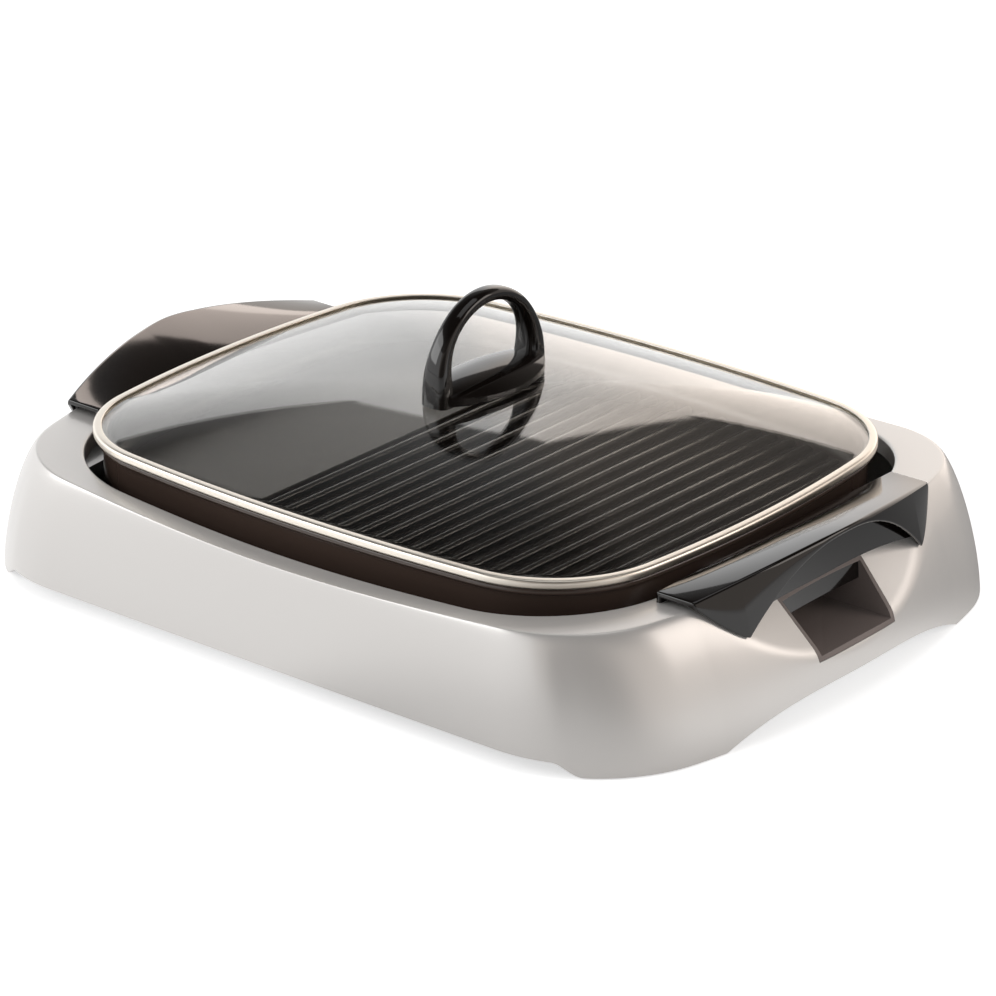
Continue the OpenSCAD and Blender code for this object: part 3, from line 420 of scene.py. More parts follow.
class Housing:
    """The housing's surfaces, from its sizes."""
    levels = 64  # rings up the side
    ramp = 14  # length over which the bottom edge comes down to a corner
    ramp_place = 0.77  # where that begins, as a share of the corner's radius
    swell, tuck = 1.47, 0.72  # how the side curves: upright at the feet, then leaning in to the top
    scoop_reach = 150  # distance from the middle past which a scoop's face runs straight on

    def __init__(self, p):
        (self.height, self.dip, self.wall, self.front_gap, self.end_arch, self.corner_gap,
         self.arch_half) = mm(p, "height", "dip", "wall", "front_gap", "end_arch", "corner_gap", "arch_half")
        self.foot = outline_shape(*mm(p, "foot_length", "foot_depth", "foot_corner", "foot_bow", "end_bow"))
        self.top = outline_shape(*mm(p, "top_length", "top_depth", "top_corner", "top_bow", "end_bow"))
        opening = mm(p, "opening_length", "opening_depth", "opening_corner", "opening_bow")
        self.opening = outline_shape(*opening, *mm(bpy.context.scene.grill_lid, "end_bow"))
        self.radius, self.x0, self.z0, self.soft = mm(p, "scoop_radius", "scoop_x", "scoop_z", "scoop_soft")
        self.tilt = p.scoop_tilt

    def top_z(self, x):
        """Height of the top face, which sags at the middle."""
        far = np.minimum(1, np.abs(x) / self.top[0])
        return self.height - self.dip * (1 - far ** 2) ** 2

    def bottom_z(self, p):
        """Height of the bottom edge under points of the foot outline."""
        x, y = np.abs(p[:, 0]), np.abs(p[:, 1])
        start = self.foot[0] - self.foot[2] * self.ramp_place
        side = mix(self.front_gap, self.corner_gap, smooth((x - start) / self.ramp))
        far = np.minimum(1, y / self.arch_half)
        arch = self.corner_gap + (self.end_arch - self.corner_gap) * (1 - far ** 3)
        return np.where((y < self.arch_half) & (x > start + self.ramp), arch, side)

    def side(self, inset):
        """Rings up the side wall, moved inward by inset."""
        low, rings = self.bottom_z(outline(self.foot)), []
        for t in np.sin(np.linspace(0, pi / 2, self.levels + 1)):
            lean = 1 - (1 - t ** self.swell) ** self.tuck
            p = outline(grown(mix(self.foot, self.top, lean), -inset))
            rings.append(raised(p, mix(low, self.top_z(p[:, 0]) - inset, t)))
        return rings

    def flat(self, grow, drop):
        """The opening's outline, moved outward by grow, at a depth below the top face."""
        p = outline(grown(self.opening, grow))
        return raised(p, self.top_z(p[:, 0]) - drop)

    def scooped(self, ring, skin=0.0):
        """A ring whose points in a finger scoop are moved back to its face, or to skin behind it."""
        ring = ring.copy()
        side = np.sign(ring[:, 0])
        c, s = cos(self.tilt), sin(self.tilt)
        depth = (np.abs(ring[:, 0]) - self.x0) * c + (ring[:, 2] - self.z0) * s
        y = np.clip(ring[:, 1], -self.scoop_reach, self.scoop_reach)
        over = depth - (self.radius - np.sqrt(self.radius ** 2 - y * y)) + skin
        k = self.soft
        push = np.where(over < -k, 0, np.where(over > k, over, (over + k) ** 2 / (4 * k)))
        ring[:, 0] -= side * push * c
        ring[:, 2] -= push * s
        return ring

    def solid(self):
        """The housing as a closed block, used to trim what sits on it."""
        rings = [self.scooped(r) for r in self.side(0)]
        return Skin().rings(rings, (0, 0, self.front_gap), (0, 0, self.height)).mesh_object("trim")


def block(x0, x1, y0, y1, z0, z1):
    """A box between two places along each axis."""
    ring = np.array([[x0, y0], [x1, y0], [x1, y1], [x0, y1]])
    return Skin().rings([raised(ring, z0), raised(ring, z1)], True, True).mesh_object("block")


def pocket_prism(p, x0, x1, grow):
    """Prism of the control pocket between two distances from the middle."""
    half, top_half, low, top = mm(p, "pocket_half", "pocket_top_half", "pocket_z", "pocket_top")
    ring = [(-half - grow, low - grow), (half + grow, low - grow),
            (top_half + grow, top + grow), (-top_half - grow, top + grow)]
    return Skin().rings([[(x, y, z) for y, z in ring] for x in (x0, x1)], True, True).mesh_object("prism")


class GRILL_OT_housing(bpy.types.Operator):
    """Builds the silver housing with its finger scoops, pocket mouth and tray slot"""
    bl_idname = "grill.housing"
    bl_label = "Housing"

    def execute(self, context):
        p = context.scene.grill_housing
        h = Housing(p)
        lip, edge = mm(p, "lip_height", "lip_edge")
        outer, inner = h.side(0), h.side(h.wall)
        face = [mix(outer[-1], h.flat(edge, 0), t) for t in np.linspace(0, 1, 16)[1:]]
        turn = np.linspace(0, pi / 2, 6)[1:]
        face += [h.flat(edge - edge * sin(t), edge - edge * cos(t)) for t in turn]
        down = [h.flat(0, lip), h.flat(h.wall, lip), h.flat(h.wall, h.wall)]
        rings = [h.scooped(r) for r in outer + face]
        rings += down + [h.scooped(r, h.wall) for r in inner[::-1]]
        housing = Skin().rings(rings, closed=True).mesh_object("housing_shell")
        # The cutters start inside the wall and end past it
        inside, outside, clearance = 188, 250, 0.3
        carve(housing, pocket_prism(context.scene.grill_handle, inside, outside, clearance))
        half, low, high = mm(p, "slot_half", "slot_low", "slot_high")
        inside, outside = 60, 230
        carve(housing, block(-half, half, inside, outside, low, high))
        place(housing, "base", "silver_shell", "base_housing")
        return {"FINISHED"}


class Handle:
    """Sections of an end handle, from its sizes."""
    edge_curve = 1.7  # how the outer edge bulges along the handle
    skirt_curve, end_curve = 2.1, 1.34  # how the skirt's edge runs up from a tip to the middle and the end
    wall_curve, wall_lean = 2.5, 0.85  # how the wall behind the finger gap curves and leans

    def __init__(self, p, housing):
        (self.span, overhang, self.z, self.width, self.bulge, self.rise, self.tip_half, self.tip_z,
         self.tip_flare, self.wall, self.gap_x, edge) = mm(
            p, "span", "overhang", "end_z", "width", "bulge", "rise", "tip_half", "tip_z",
            "tip_flare", "wall", "gap_wall_x", "edge")
        self.top_x = housing.opening[0] - overhang
        self.low, self.wall_low = housing.height - 3, housing.z0 - 6
        self.radii = [1.2, edge, 1.1, 1.1, 0.6, 0.5, 0.4, 0.4, 0.5, 0.6, 0.4, 0.4]

    def outer(self, y):
        """Place and height of the outer edge."""
        share = 1 - min(1, abs(y) / (self.span / 2)) ** self.edge_curve
        return self.top_x + self.width + self.bulge * share, self.z + self.rise * share

    def skirt_z(self, y):
        """Height of the skirt's lower edge."""
        middle = self.outer(0)[1] - self.wall - 0.1
        if abs(y) > self.tip_half:
            far = (abs(y) - self.tip_half) / (self.span / 2 - self.tip_half)
            return mix(self.tip_z, self.z - self.wall, far ** self.end_curve)
        return mix(middle, self.tip_z, (abs(y) / self.tip_half) ** self.skirt_curve)

    def section(self, y):
        """Closed profile of the shell: top, skirt, wall behind the finger gap and lip over the opening."""
        (x, z), low, t = self.outer(y), self.skirt_z(y), self.wall
        slope = self.tip_flare / (self.outer(self.tip_half)[1] - self.tip_z)
        tip = x + slope * (z - low)
        inner, outer = np.array([[self.top_x + t, self.z - t], [x - t + slope * t, z - t]])
        tip_foot = self.outer(self.tip_half)[0] + self.tip_flare - t - 1
        foot = mix(self.gap_x, tip_foot, min(1, abs(y) / self.tip_half) ** self.wall_curve)
        foot += min(0, x - self.outer(self.tip_half)[0])
        head = foot - self.wall_lean * self.tip_flare
        front, back = [mix(inner, outer, (q - inner[0]) / (outer[0] - inner[0])) for q in (head, head - t)]
        if abs(y) < self.tip_half:
            wall = [(foot, self.wall_low), (foot - t, self.wall_low)]
        else:
            wall = [mix(front, back, 1 / 3), mix(front, back, 2 / 3)]
        corners = [(self.top_x, self.z), (x, z), (tip, low), (tip - t, low), outer, front, *wall, back, inner,
                   (self.top_x + t, self.low), (self.top_x, self.low)]
        return rounded(corners, self.radii)

    def rings(self, side):
        """Sections from end to end, drawn in a little at both ends; side is 1 or -1."""
        half, tip, near = self.span / 2, self.tip_half, 0.01
        breaks = [y + d for y in (-tip, tip) for d in (-near, near)]
        ys = np.concatenate([np.linspace(-half, half, 161), breaks])
        steps = [(y, 0) for y in np.sort(ys)[1:-1]]
        ends = [(0.0, 0.7), (0.2, 0.3), (0.6, 0.05)]
        steps = [(-half + d, g) for d, g in ends] + steps + [(half - d, g) for d, g in ends[::-1]]
        return [[(side * a, y, b) for a, b in drawn_in(self.section(y), g)] for y, g in steps]


class GRILL_OT_handles(bpy.types.Operator):
    """Builds the two gloss handles with their finger gaps"""
    bl_idname = "grill.handles"
    bl_label = "End handles"

    def execute(self, context):
        housing = Housing(context.scene.grill_housing)
        h = Handle(context.scene.grill_handle, housing)
        for side, name in ((1, "handle_right"), (-1, "handle_left")):
            handle = Skin().rings(h.rings(side), True, True).mesh_object(name + "_moulding")
            place(handle, "base", "black_plastic", name)
        return {"FINISHED"}


class GRILL_OT_pocket(bpy.types.Operator):
    """Builds the pocket that takes the temperature control plug"""
    bl_idname = "grill.pocket"
    bl_label = "Control pocket"

    def execute(self, context):
        p = context.scene.grill_handle
        back, wall, low, top, window = mm(
            p, "pocket_back", "pocket_wall", "pocket_z", "pocket_top", "window_half")
        outside, edge = 245, 0.5
        pocket = pocket_prism(p, back, outside, 0)
        carve(pocket, Housing(context.scene.grill_housing).solid(), "INTERSECT")
        carve(pocket, pocket_prism(p, back + wall, outside + 10, -wall))
        carve(pocket, block(back - 1, back + wall + 1, -window, window, low + wall + 2, top - wall - 2))
        pocket.name = "control_pocket_moulding"
        place(bevelled(pocket, edge), "base", "dark_plastic", "control_pocket")
        return {"FINISHED"}


class GRILL_OT_plate(bpy.types.Operator):
    """Builds the cooking plate with its flange, flat zone, ribs and drain"""
    bl_idname = "grill.plate"
    bl_label = "Cooking plate"

    def execute(self, context):
        p = context.scene.grill_plate
        self.long, self.deep, corner, self.floor, floor_t = mm(
            p, "length", "depth", "corner", "floor_z", "floor_t")
        self.first, self.pitch, self.rib_w, channel, drain_r = mm(
            p, "rib_start", "rib_pitch", "rib_w", "channel_w", "drain_r")
        self.low = self.floor - floor_t
        bows = mm(context.scene.grill_lid, "bow", "end_bow")
        self.shape = outline_shape(self.long, self.deep, corner, *bows)
        self.inside = grown(self.shape, -channel)
        pan = Skin()
        self.add_pan(pan, p)
        self.add_flat_zone(pan, p)
        pan = pan.mesh_object("cooking_plate")
        ribs = self.ribs(p).mesh_object("plate_ribs")
        drain = (self.first - self.pitch / 2 - self.rib_w, self.deep / 2 - channel - 28)
        carve(pan, self.bosses(drain, drain_r).mesh_object("plate_pads"), "UNION")
        below, above = 25, 75
        carve(pan, Skin().cylinder(*drain, below, above, drain_r).mesh_object("hole"), sharp=40)
        place(shifted(pan), "plate", "non_stick", "grill_plate")
        place(shifted(ribs), "plate", "non_stick", "grill_plate", "rubbed_non_stick")
        return {"FINISHED"}

    def add_pan(self, skin, p):
        """The pan: floor, side wall and flange."""
        wall, flange, flange_t, flange_w, edge = mm(
            p, "wall", "flange_z", "flange_t", "flange_w", "floor_edge")
        floor, low, under = self.floor, self.low, -60
        profile = [(-edge - 20, floor)] + [(-edge + edge * sin(t), floor + edge - edge * cos(t))
                                           for t in np.linspace(0, radians(86), 9)]
        corners = [(0, flange - 8), (0, flange), (flange_w, flange), (flange_w, flange - flange_t),
                   (wall, flange - flange_t), (wall, low), (under, low)]
        profile += list(rounded(corners, [0, 1.5, 1.5, 1.2, 1, 3, 0])[5:-5])
        profile.append((under, low))
        rings = [raised(outline(grown(self.shape, d)), z) for d, z in profile]
        skin.rings(rings, (0, 0, floor), (0, 0, low))

    def add_flat_zone(self, skin, p):
        """The raised flat zone beside the ribs, with a soft edge."""
        top = self.floor + mm(p, "flat_h")[0]
        ring = outline(self.inside)
        step_x = self.first - 0.75 * self.pitch
        half = half_depth_at(self.inside, step_x)
        past = ring[:, 0] > step_x
        ring[past] = np.column_stack([np.full(past.sum(), step_x), np.clip(ring[past, 1], -half, half)])
        middle, reach = ring.mean(0), 90
        steps = [(0, self.floor - 1), (0, top - 0.8), (-0.25, top - 0.25), (-0.8, top), (-1.3, top)]
        rings = [raised(middle + (ring - middle) * (1 + d / reach), z) for d, z in steps]
        skin.rings(rings, (*middle, self.floor - 1), (*middle, top))

    def ribs(self, p):
        """Ribs with a rounded top and ends, sunk a little into the floor."""
        height, last = mm(p, "rib_h", "rib_end")
        sink, across, upward = 0.4, 0.6, 0.5
        arc = [(self.rib_w / 2 * np.sign(cos(t)) * abs(cos(t)) ** across, max(0, sin(t)) ** upward)
               for t in np.linspace(0, pi, 25)]
        skin = Skin()
        for x in self.first + self.pitch * np.arange((last - self.first) // self.pitch + 1):
            half = half_depth_at(self.inside, x)
            ends = [(-half, 0.4), (-half + 0.2, 0.7), (-half + 0.7, 0.93), (-half + 1.6, 1)]
            ends += [(-y, q) for y, q in ends[::-1]]
            skin.rings([[(x + a, y, self.floor - sink + (height + sink) * b * q) for a, b in arc]
                        for y, q in ends], True, True)
        return skin

    def bosses(self, drain, drain_r):
        """Pads over the posts, bosses for the clamps' screws, and the drain's spout."""
        skin, top = Skin(), self.low + 1
        pad_x, pad_y, pad_z, pad_r = self.long / 2 - 35, self.deep / 2 - 61, self.low - 5.5, 6.5
        boss_x, boss_y, boss_z, boss_r, boss_pair = 62, self.deep / 2 - 67, 40.9, 3.6, (-9, 9)
        spout_z, spout_r = 30.4, drain_r + 1.5
        for sx in (-1, 1):
            for sy in (-1, 1):
                skin.cylinder(sx * pad_x, sy * pad_y, pad_z, top, pad_r, edge=0.5)
                for d in boss_pair:
                    skin.cylinder(sx * boss_x, sy * boss_y + d, boss_z, top, boss_r, edge=0.4)
        return skin.cylinder(*drain, spout_z, top, spout_r, edge=0.4)


def lid_outline(p):
    """Outline of the glass inside its rim."""
    return outline_shape(*mm(p, "length", "depth", "corner", "bow", "end_bow"))


class GRILL_OT_glass(bpy.types.Operator):
    """Builds the glass dome of the lid"""
    bl_idname = "grill.glass"
    bl_label = "Lid glass"

    def execute(self, context):
        p = context.scene.grill_lid
        rim_w, rim_t, rim_z, dome, thick, gap = mm(p, "rim_w", "rim_t", "rim_z", "dome_h", "glass_t", "gap")
        lid = lid_outline(p)
        base = outline(grown(lid, -1))
        low = rim_z + rim_t + gap
        top = low + thick
        hole_r, hole_share, dome_curve = 2.3, 0.1, 2.3
        hole = base / np.linalg.norm(base, axis=1)[:, None] * hole_r
        shares = 1 - np.linspace(0, 1, 60)

        def dome_ring(q, drop):
            """A ring of the dome at a share q of the way out. It turns round near the screw's hole."""
            near = smooth((hole_share - q) / hole_share)
            return raised(mix(base * max(q, 0.02), hole, near), top - drop + dome * (1 - q ** dome_curve))

        edge, soft = grown(lid, rim_w - rim_t - gap), 0.5
        rings = [dome_ring(q, thick) for q in shares[::-1]]
        rings += [raised(outline(grown(edge, -soft)), low), raised(outline(edge), low + soft)]
        rings += [raised(outline(edge), top - soft), raised(outline(grown(edge, -soft)), top)]
        rings += [dome_ring(q, 0) for q in shares]
        glass = Skin().rings(rings, closed=True).mesh_object("lid_dome", sharp=60)
        place(shifted(glass), "lid", "glass", "lid_glass")
        return {"FINISHED"}


class GRILL_OT_rim(bpy.types.Operator):
    """Builds the rolled steel rim of the lid"""
    bl_idname = "grill.rim"
    bl_label = "Lid rim"

    def execute(self, context):
        p = context.scene.grill_lid
        width, t, low, high = mm(p, "rim_w", "rim_t", "rim_z", "rim_h")
        lid = lid_outline(p)
        corners = [(0, 0), (width, 0), (width, high), (0, high), (0, high - t), (width - t, high - t),
                   (width - t, t), (0, t)]
        profile = rounded(corners, [0.3, 1.7, 1.7, 0.35, 0.3, 0.9, 0.9, 0.3], 8)
        rings = [raised(outline(grown(lid, d)), low + z) for d, z in profile]
        rim = Skin().rings(rings, closed=True).mesh_object("lid_rolled_rim")
        place(shifted(rim), "lid", "rim_steel", "lid_rim")
        return {"FINISHED"}


class GRILL_OT_knob(bpy.types.Operator):
    """Builds the moulded loop handle of the lid"""
    bl_idname = "grill.knob"
    bl_label = "Lid handle"

    def execute(self, context):
        p = context.scene.grill_lid
        rise, long, top_w, foot_w, thick, base_w, low, t, gap, glass, dome = mm(
            p, "knob_h", "knob_length", "knob_top_w", "knob_foot_w", "knob_t", "knob_base_w", "rim_z",
            "rim_t", "gap", "glass_t", "dome_h")
        apex = low + t + gap + glass + dome
        foot, radius, spring = apex + gap, (long - thick) / 2, apex + rise - long / 2
        path = [(-radius, z, pi) for z in np.linspace(foot, spring, 13)[:-1]]
        path += [(radius * cos(a), spring + radius * sin(a), a) for a in np.linspace(pi, 0, 61)]
        path += [(radius, z, 0) for z in np.linspace(spring, foot, 13)[1:]]

        def soft(v):
            """A circle's sine or cosine made a little squarer."""
            return np.sign(v) * np.abs(v) ** 0.75

        turn = np.linspace(0, 2 * pi, 40, endpoint=False)
        foot_half, top_half, foot_in = 0.62, 0.36, 0.12  # half thickness and inward shift, as shares of thick

        def section(y, z, a):
            """The loop's section at a point of its path, wide at the foot and slim at the top."""
            up = smooth((z - foot) / (rise * 0.75))
            w = mix(foot_w, top_w, up)
            out = mix(foot_half, top_half, up) * thick * soft(np.cos(turn)) - mix(foot_in, 0, up) * thick
            return np.column_stack([w / 2 * soft(np.sin(turn)), y + out * cos(a), z + out * sin(a)])

        skin = Skin().rings([section(*q) for q in path], True, True)
        z0, rim, crown, crown_curve = foot + 1, 3, 6.4, 2.2
        steps = [(0.97, 0), (1, 0.8), (1, rim)]
        steps += [(q, rim + crown * (1 - q ** crown_curve)) for q in np.linspace(0.98, 0.04, 24)]
        oval = np.linspace(0, 2 * pi, 120, endpoint=False)
        rings = [np.column_stack([q * base_w / 2 * np.cos(oval), q * (long / 2 - 1) * np.sin(oval),
                                  z0 + z + rim * q * q * np.sin(oval) ** 2 * (z >= rim)]) for q, z in steps]
        skin.rings(rings, (0, 0, z0), (0, 0, z0 + rim + crown))
        place(shifted(skin.mesh_object("lid_loop_handle")), "lid", "black_plastic", "lid_handle")
        return {"FINISHED"}


# Materials

SOFT = {"interpolation_type": "SMOOTHSTEP"}


def node(tree, kind, inputs=None, **settings):
    """Adds a node, sets its options, and sets or links its inputs. A node stands for its first output."""
    new = tree.nodes.new("ShaderNode" + kind)
    for key, value in settings.items():
        setattr(new, key, value)
    for key, value in (inputs or {}).items():
        if isinstance(value, bpy.types.Node):
            value = value.outputs[0]
        if isinstance(value, bpy.types.NodeSocket):
            tree.links.new(value, new.inputs[key])
        else:
            new.inputs[key].default_value = value
    return new


def filled(owner, output, surface, *args):
    """Fills the nodes of a material or world. surface(add, ...) makes its shader, and add puts a node in."""
    owner.use_nodes = True
    owner.node_tree.nodes.clear()
    add = partial(node, owner.node_tree)
    add(output, {"Surface": surface(add, *args)})
    return owner


def rgba(name, shade=1.0):
    """One of the colour properties, made darker by shade."""
    c = getattr(bpy.context.scene.grill_colours, name)
    return (c[0] * shade, c[1] * shade, c[2] * shade, 1)


def grain(add, size_mm, detail=2.0, stretch=(1, 1, 1)):
    """Noise whose features are about size_mm across, in the piece's own space."""
    mapped = add("Mapping", {"Vector": add("TexCoord").outputs["Object"], "Scale": stretch})
    return add("TexNoise", {"Vector": mapped, "Scale": 1 / (size_mm * MM), "Detail": detail})


def varied(add, low, high, *pattern):
    """A value that goes from low to high in the grains of a pattern."""
    return add("MapRange", {"Value": grain(add, *pattern), "To Min": low, "To Max": high})


def silver_paint(add):
    """Metallic paint sprayed on moulded ABS: its flakes give a soft sheen and its lacquer a sharper one."""
    # Real flakes are about 0.03 mm across; they are drawn at 0.35 mm, or they wouldn't show
    return add("BsdfPrincipled", {
        "Base Color": rgba("silver"), "Metallic": 0.42, "Roughness": varied(add, 0.27, 0.36, 0.35),
        "Coat Weight": 0.25, "Coat Roughness": 0.08})


def gloss_black(add):
    """Black ABS from a polished mould: a near mirror skin with a faint ripple, 14 mm from wave to wave."""
    ripple = add("Bump", {"Height": grain(add, 14, 1.0), "Distance": 0.02 * MM})
    return add("BsdfPrincipled", {
        "Base Color": rgba("black"), "Roughness": 0.07, "IOR": 1.54, "Normal": ripple})


def grained_dark(add):
    """Dark plastic from a spark-eroded mould: an even fine grain that scatters the light. Its colour is drawn
    lighter than the plastic, as painted light in the pocket.
    """
    # A real grain is about 0.1 mm; it is drawn at 0.4 mm, or it wouldn't show
    relief = add("Bump", {"Height": grain(add, 0.4), "Distance": 0.03 * MM})
    return add("BsdfPrincipled", {"Base Color": rgba("dark"), "Roughness": 0.42, "Normal": relief})


def non_stick(add):
    """Non-stick coating sprayed on cast aluminium: a dark satin skin with a 2.5 mm peel. The outer wall is
    glossier, and its brown colour is a painted reflection."""
    shape = add("TexCoord").outputs
    outward = add("VectorMath", {0: shape["Normal"], 1: shape["Object"]}, operation="DOT_PRODUCT")
    outside = add("MapRange", {"Value": outward.outputs["Value"], "From Min": 0.09, "From Max": 0.11}, **SOFT)
    # The outer wall's brown is a painted reflection
    skin = add("Mix", {"Factor": outside, "A": rgba("non_stick"), "B": rgba("wall_painted_reflection")}, data_type="RGBA")
    gloss = add("Mix", {"Factor": outside, "A": varied(add, 0.28, 0.34, 2.5), "B": 0.14})
    return add("BsdfPrincipled", {"Base Color": skin.outputs["Result"], "Roughness": gloss})


def rubbed_non_stick(add):
    """The same coating on the ribs, drawn smoother and darker than on the rest of the plate."""
    return add("BsdfPrincipled", {
        "Base Color": rgba("non_stick", 0.6), "Roughness": varied(add, 0.15, 0.2, 6, 1.0)})


def clear_glass(add):
    """Tempered glass, clear and sharp. Lamps shine straight through it, so the plate below is lit cleanly."""
    body = add("BsdfPrincipled", {
        "Base Color": rgba("glass"), "Roughness": 0.0, "IOR": 1.5, "Transmission Weight": 1.0})
    clear = add("BsdfTransparent", {"Color": (0.95, 0.95, 0.94, 1)})
    return add("MixShader", {0: add("LightPath").outputs["Is Shadow Ray"], 1: body, 2: clear})


def metal(add, colour_name, low, high, size_mm, stretch=(1, 1, 1), metallic=1.0):
    """Bare or plated metal whose roughness follows a fine grain."""
    return add("BsdfPrincipled", {"Base Color": rgba(colour_name), "Metallic": metallic,
                                  "Roughness": varied(add, low, high, size_mm, 3.0, stretch)})


def plain(add, colour_name, roughness, size_mm=0.6, depth_mm=0.02):
    """Uncoated material with an even fine surface."""
    relief = add("Bump", {"Height": grain(add, size_mm), "Distance": depth_mm * MM})
    return add("BsdfPrincipled", {"Base Color": rgba(colour_name), "Roughness": roughness, "Normal": relief})


# For each slot: the material's name, the function that makes it and its numbers
PIECE_FINISHES = {
    "silver_shell": ("silver_paint", silver_paint),
    "black_plastic": ("gloss_black_moulding", gloss_black),
    "dark_plastic": ("grained_dark_moulding", grained_dark),
    "non_stick": ("sprayed_non_stick", non_stick),
    "rubbed_non_stick": ("rubbed_non_stick", rubbed_non_stick),
    "glass": ("tempered_glass", clear_glass),
    # Satin stainless steel, rolled round the glass: bright, with faint drawn lines
    "rim_steel": ("satin_rolled_steel", metal, "rim", 0.3, 0.38, 1.0, (1, 1, 0.2)),
}
# The same for the CAD nodes that stay
NODE_FINISHES = {
    # Zinc-coated sheet: a dull grey with crystals about 6 mm across
    "cover_sheet": ("zinc_coated_sheet", metal, "cover", 0.35, 0.5, 6),
    # Moulded rubber: matt, with a fine texture
    "rubber": ("moulded_rubber", plain, "rubber", 0.75),
    # Aluminised sheet of the shield, clamps and guard: bright and slightly blurred
    "bright_sheet": ("aluminised_sheet", metal, "sheet", 0.22, 0.34, 2),
    # Pressed and fired ceramic: off-white and fine-pored
    "ceramic": ("pressed_ceramic", plain, "ceramic", 0.55, 0.3, 0.03),
    # Zinc-plated steel of the screws, rivets and washer: bright, a little uneven
    "steel": ("zinc_plated_steel", metal, "steel", 0.2, 0.32, 0.5),
    # Pressed steel of the tray: its drawn grain runs front to back
    "tray_sheet": ("pressed_tray_sheet", metal, "sheet", 0.25, 0.38, 1.2, (1, 0.1, 1)),
    # Oxidised sheath of the element: dark, dull metal
    "element_steel": ("oxidised_sheath", metal, "element", 0.4, 0.6, 1.5, (1, 1, 1), 0.85),
    # Nickel-plated pins and probe tube: smooth and mirror-like
    "pin_steel": ("nickel_plated_steel", metal, "steel", 0.14, 0.22, 0.4),
    # Turned brass: yellow, with a fine sheen
    "brass": ("turned_brass", metal, "brass", 0.2, 0.3, 0.5),
    # Moulded silicone: soft satin black
    "silicone": ("moulded_silicone", plain, "rubber", 0.5, 0.8),
}


def finish_material(slot):
    """The material of a slot, made when it is first asked for."""
    name, surface, *numbers = (PIECE_FINISHES | NODE_FINISHES)[slot]
    made = bpy.data.materials.get(name)
    return made or filled(bpy.data.materials.new(name), "OutputMaterial", surface, *numbers)


class GRILL_OT_finish(bpy.types.Operator):
    """Gives the metal, ceramic and rubber CAD nodes their materials"""
    bl_idname = "grill.finish"
    bl_label = "Metal and rubber parts"

    def execute(self, context):
        # The tray's pull keeps the frame's plain silver, as do the nodes that a piece stands for
        for part in frame["record"]["subparts"]:
            slot = part["material_slot"]
            if slot in NODE_FINISHES:
                materials = frame["nodes"][part["node"]].data.materials
                materials.clear()
                materials.append(finish_material(slot))
        return {"FINISHED"}


# Stage, in metres

CAMERA_AZ, CAMERA_EL = radians(39.4494), radians(22.8455)
CAMERA_DISTANCE, CAMERA_LENS = 2.46405, 170.12  # the lens in millimetres, on a 36 mm sensor
CAMERA_AIM = (0.007145, 0.03708)  # across and up from the point on the table under the lid's middle
DARK_SIDE = (sin(CAMERA_AZ), -cos(CAMERA_AZ), 0)  # the open side of the studio
REAR = (0.4, 0.9165, 0)  # the way behind the object, where mirror-like faces see the floor dimmed


def away(add, way):
    """1 for most directions, falling to 0.2 for those that turn to the studio's dark side."""
    toward = add("VectorMath", {0: way, 1: DARK_SIDE}, operation="DOT_PRODUCT").outputs["Value"]
    return add("MapRange", {
        "Value": toward, "From Min": 0.72, "From Max": 0.95, "To Min": 1, "To Max": 0.2}, **SOFT)


def floor_paper(add):
    """Matt paper, white to the camera, with the shadow kept. Mirror-like faces see it darker on two sides of
    the object, so that gloss black stays black."""
    glow = 0.6
    path = add("LightPath").outputs
    side = add("VectorMath", {0: add("TexCoord").outputs["Object"]}, operation="NORMALIZE")
    rear = add("VectorMath", {0: side, 1: REAR}, operation="DOT_PRODUCT").outputs["Value"]
    dim = add("MapRange", {"Value": rear, "From Min": 0.6, "From Max": 0.9, "To Max": 0.75}, **SOFT)
    dim = add("Math", {0: dim, 1: path["Is Glossy Ray"]}, operation="MULTIPLY")
    mirrored = add("Math", {0: path["Is Glossy Ray"], 1: dim}, operation="SUBTRACT")
    mirrored = add("Math", {0: mirrored, 1: away(add, side)}, operation="MULTIPLY")
    seen = add("Math", {0: path["Is Camera Ray"], 1: mirrored}, operation="MAXIMUM")
    strength = add("Math", {0: seen, 1: glow}, operation="MULTIPLY")
    lit = add("Emission", {"Color": (1, 1, 1, 1), "Strength": strength})
    matt, unlit = add("BsdfDiffuse", {"Color": rgba("floor")}), add("BsdfDiffuse", {"Color": (0, 0, 0, 1)})
    return add("AddShader", {0: add("MixShader", {0: dim, 1: matt, 2: unlit}), 1: lit})


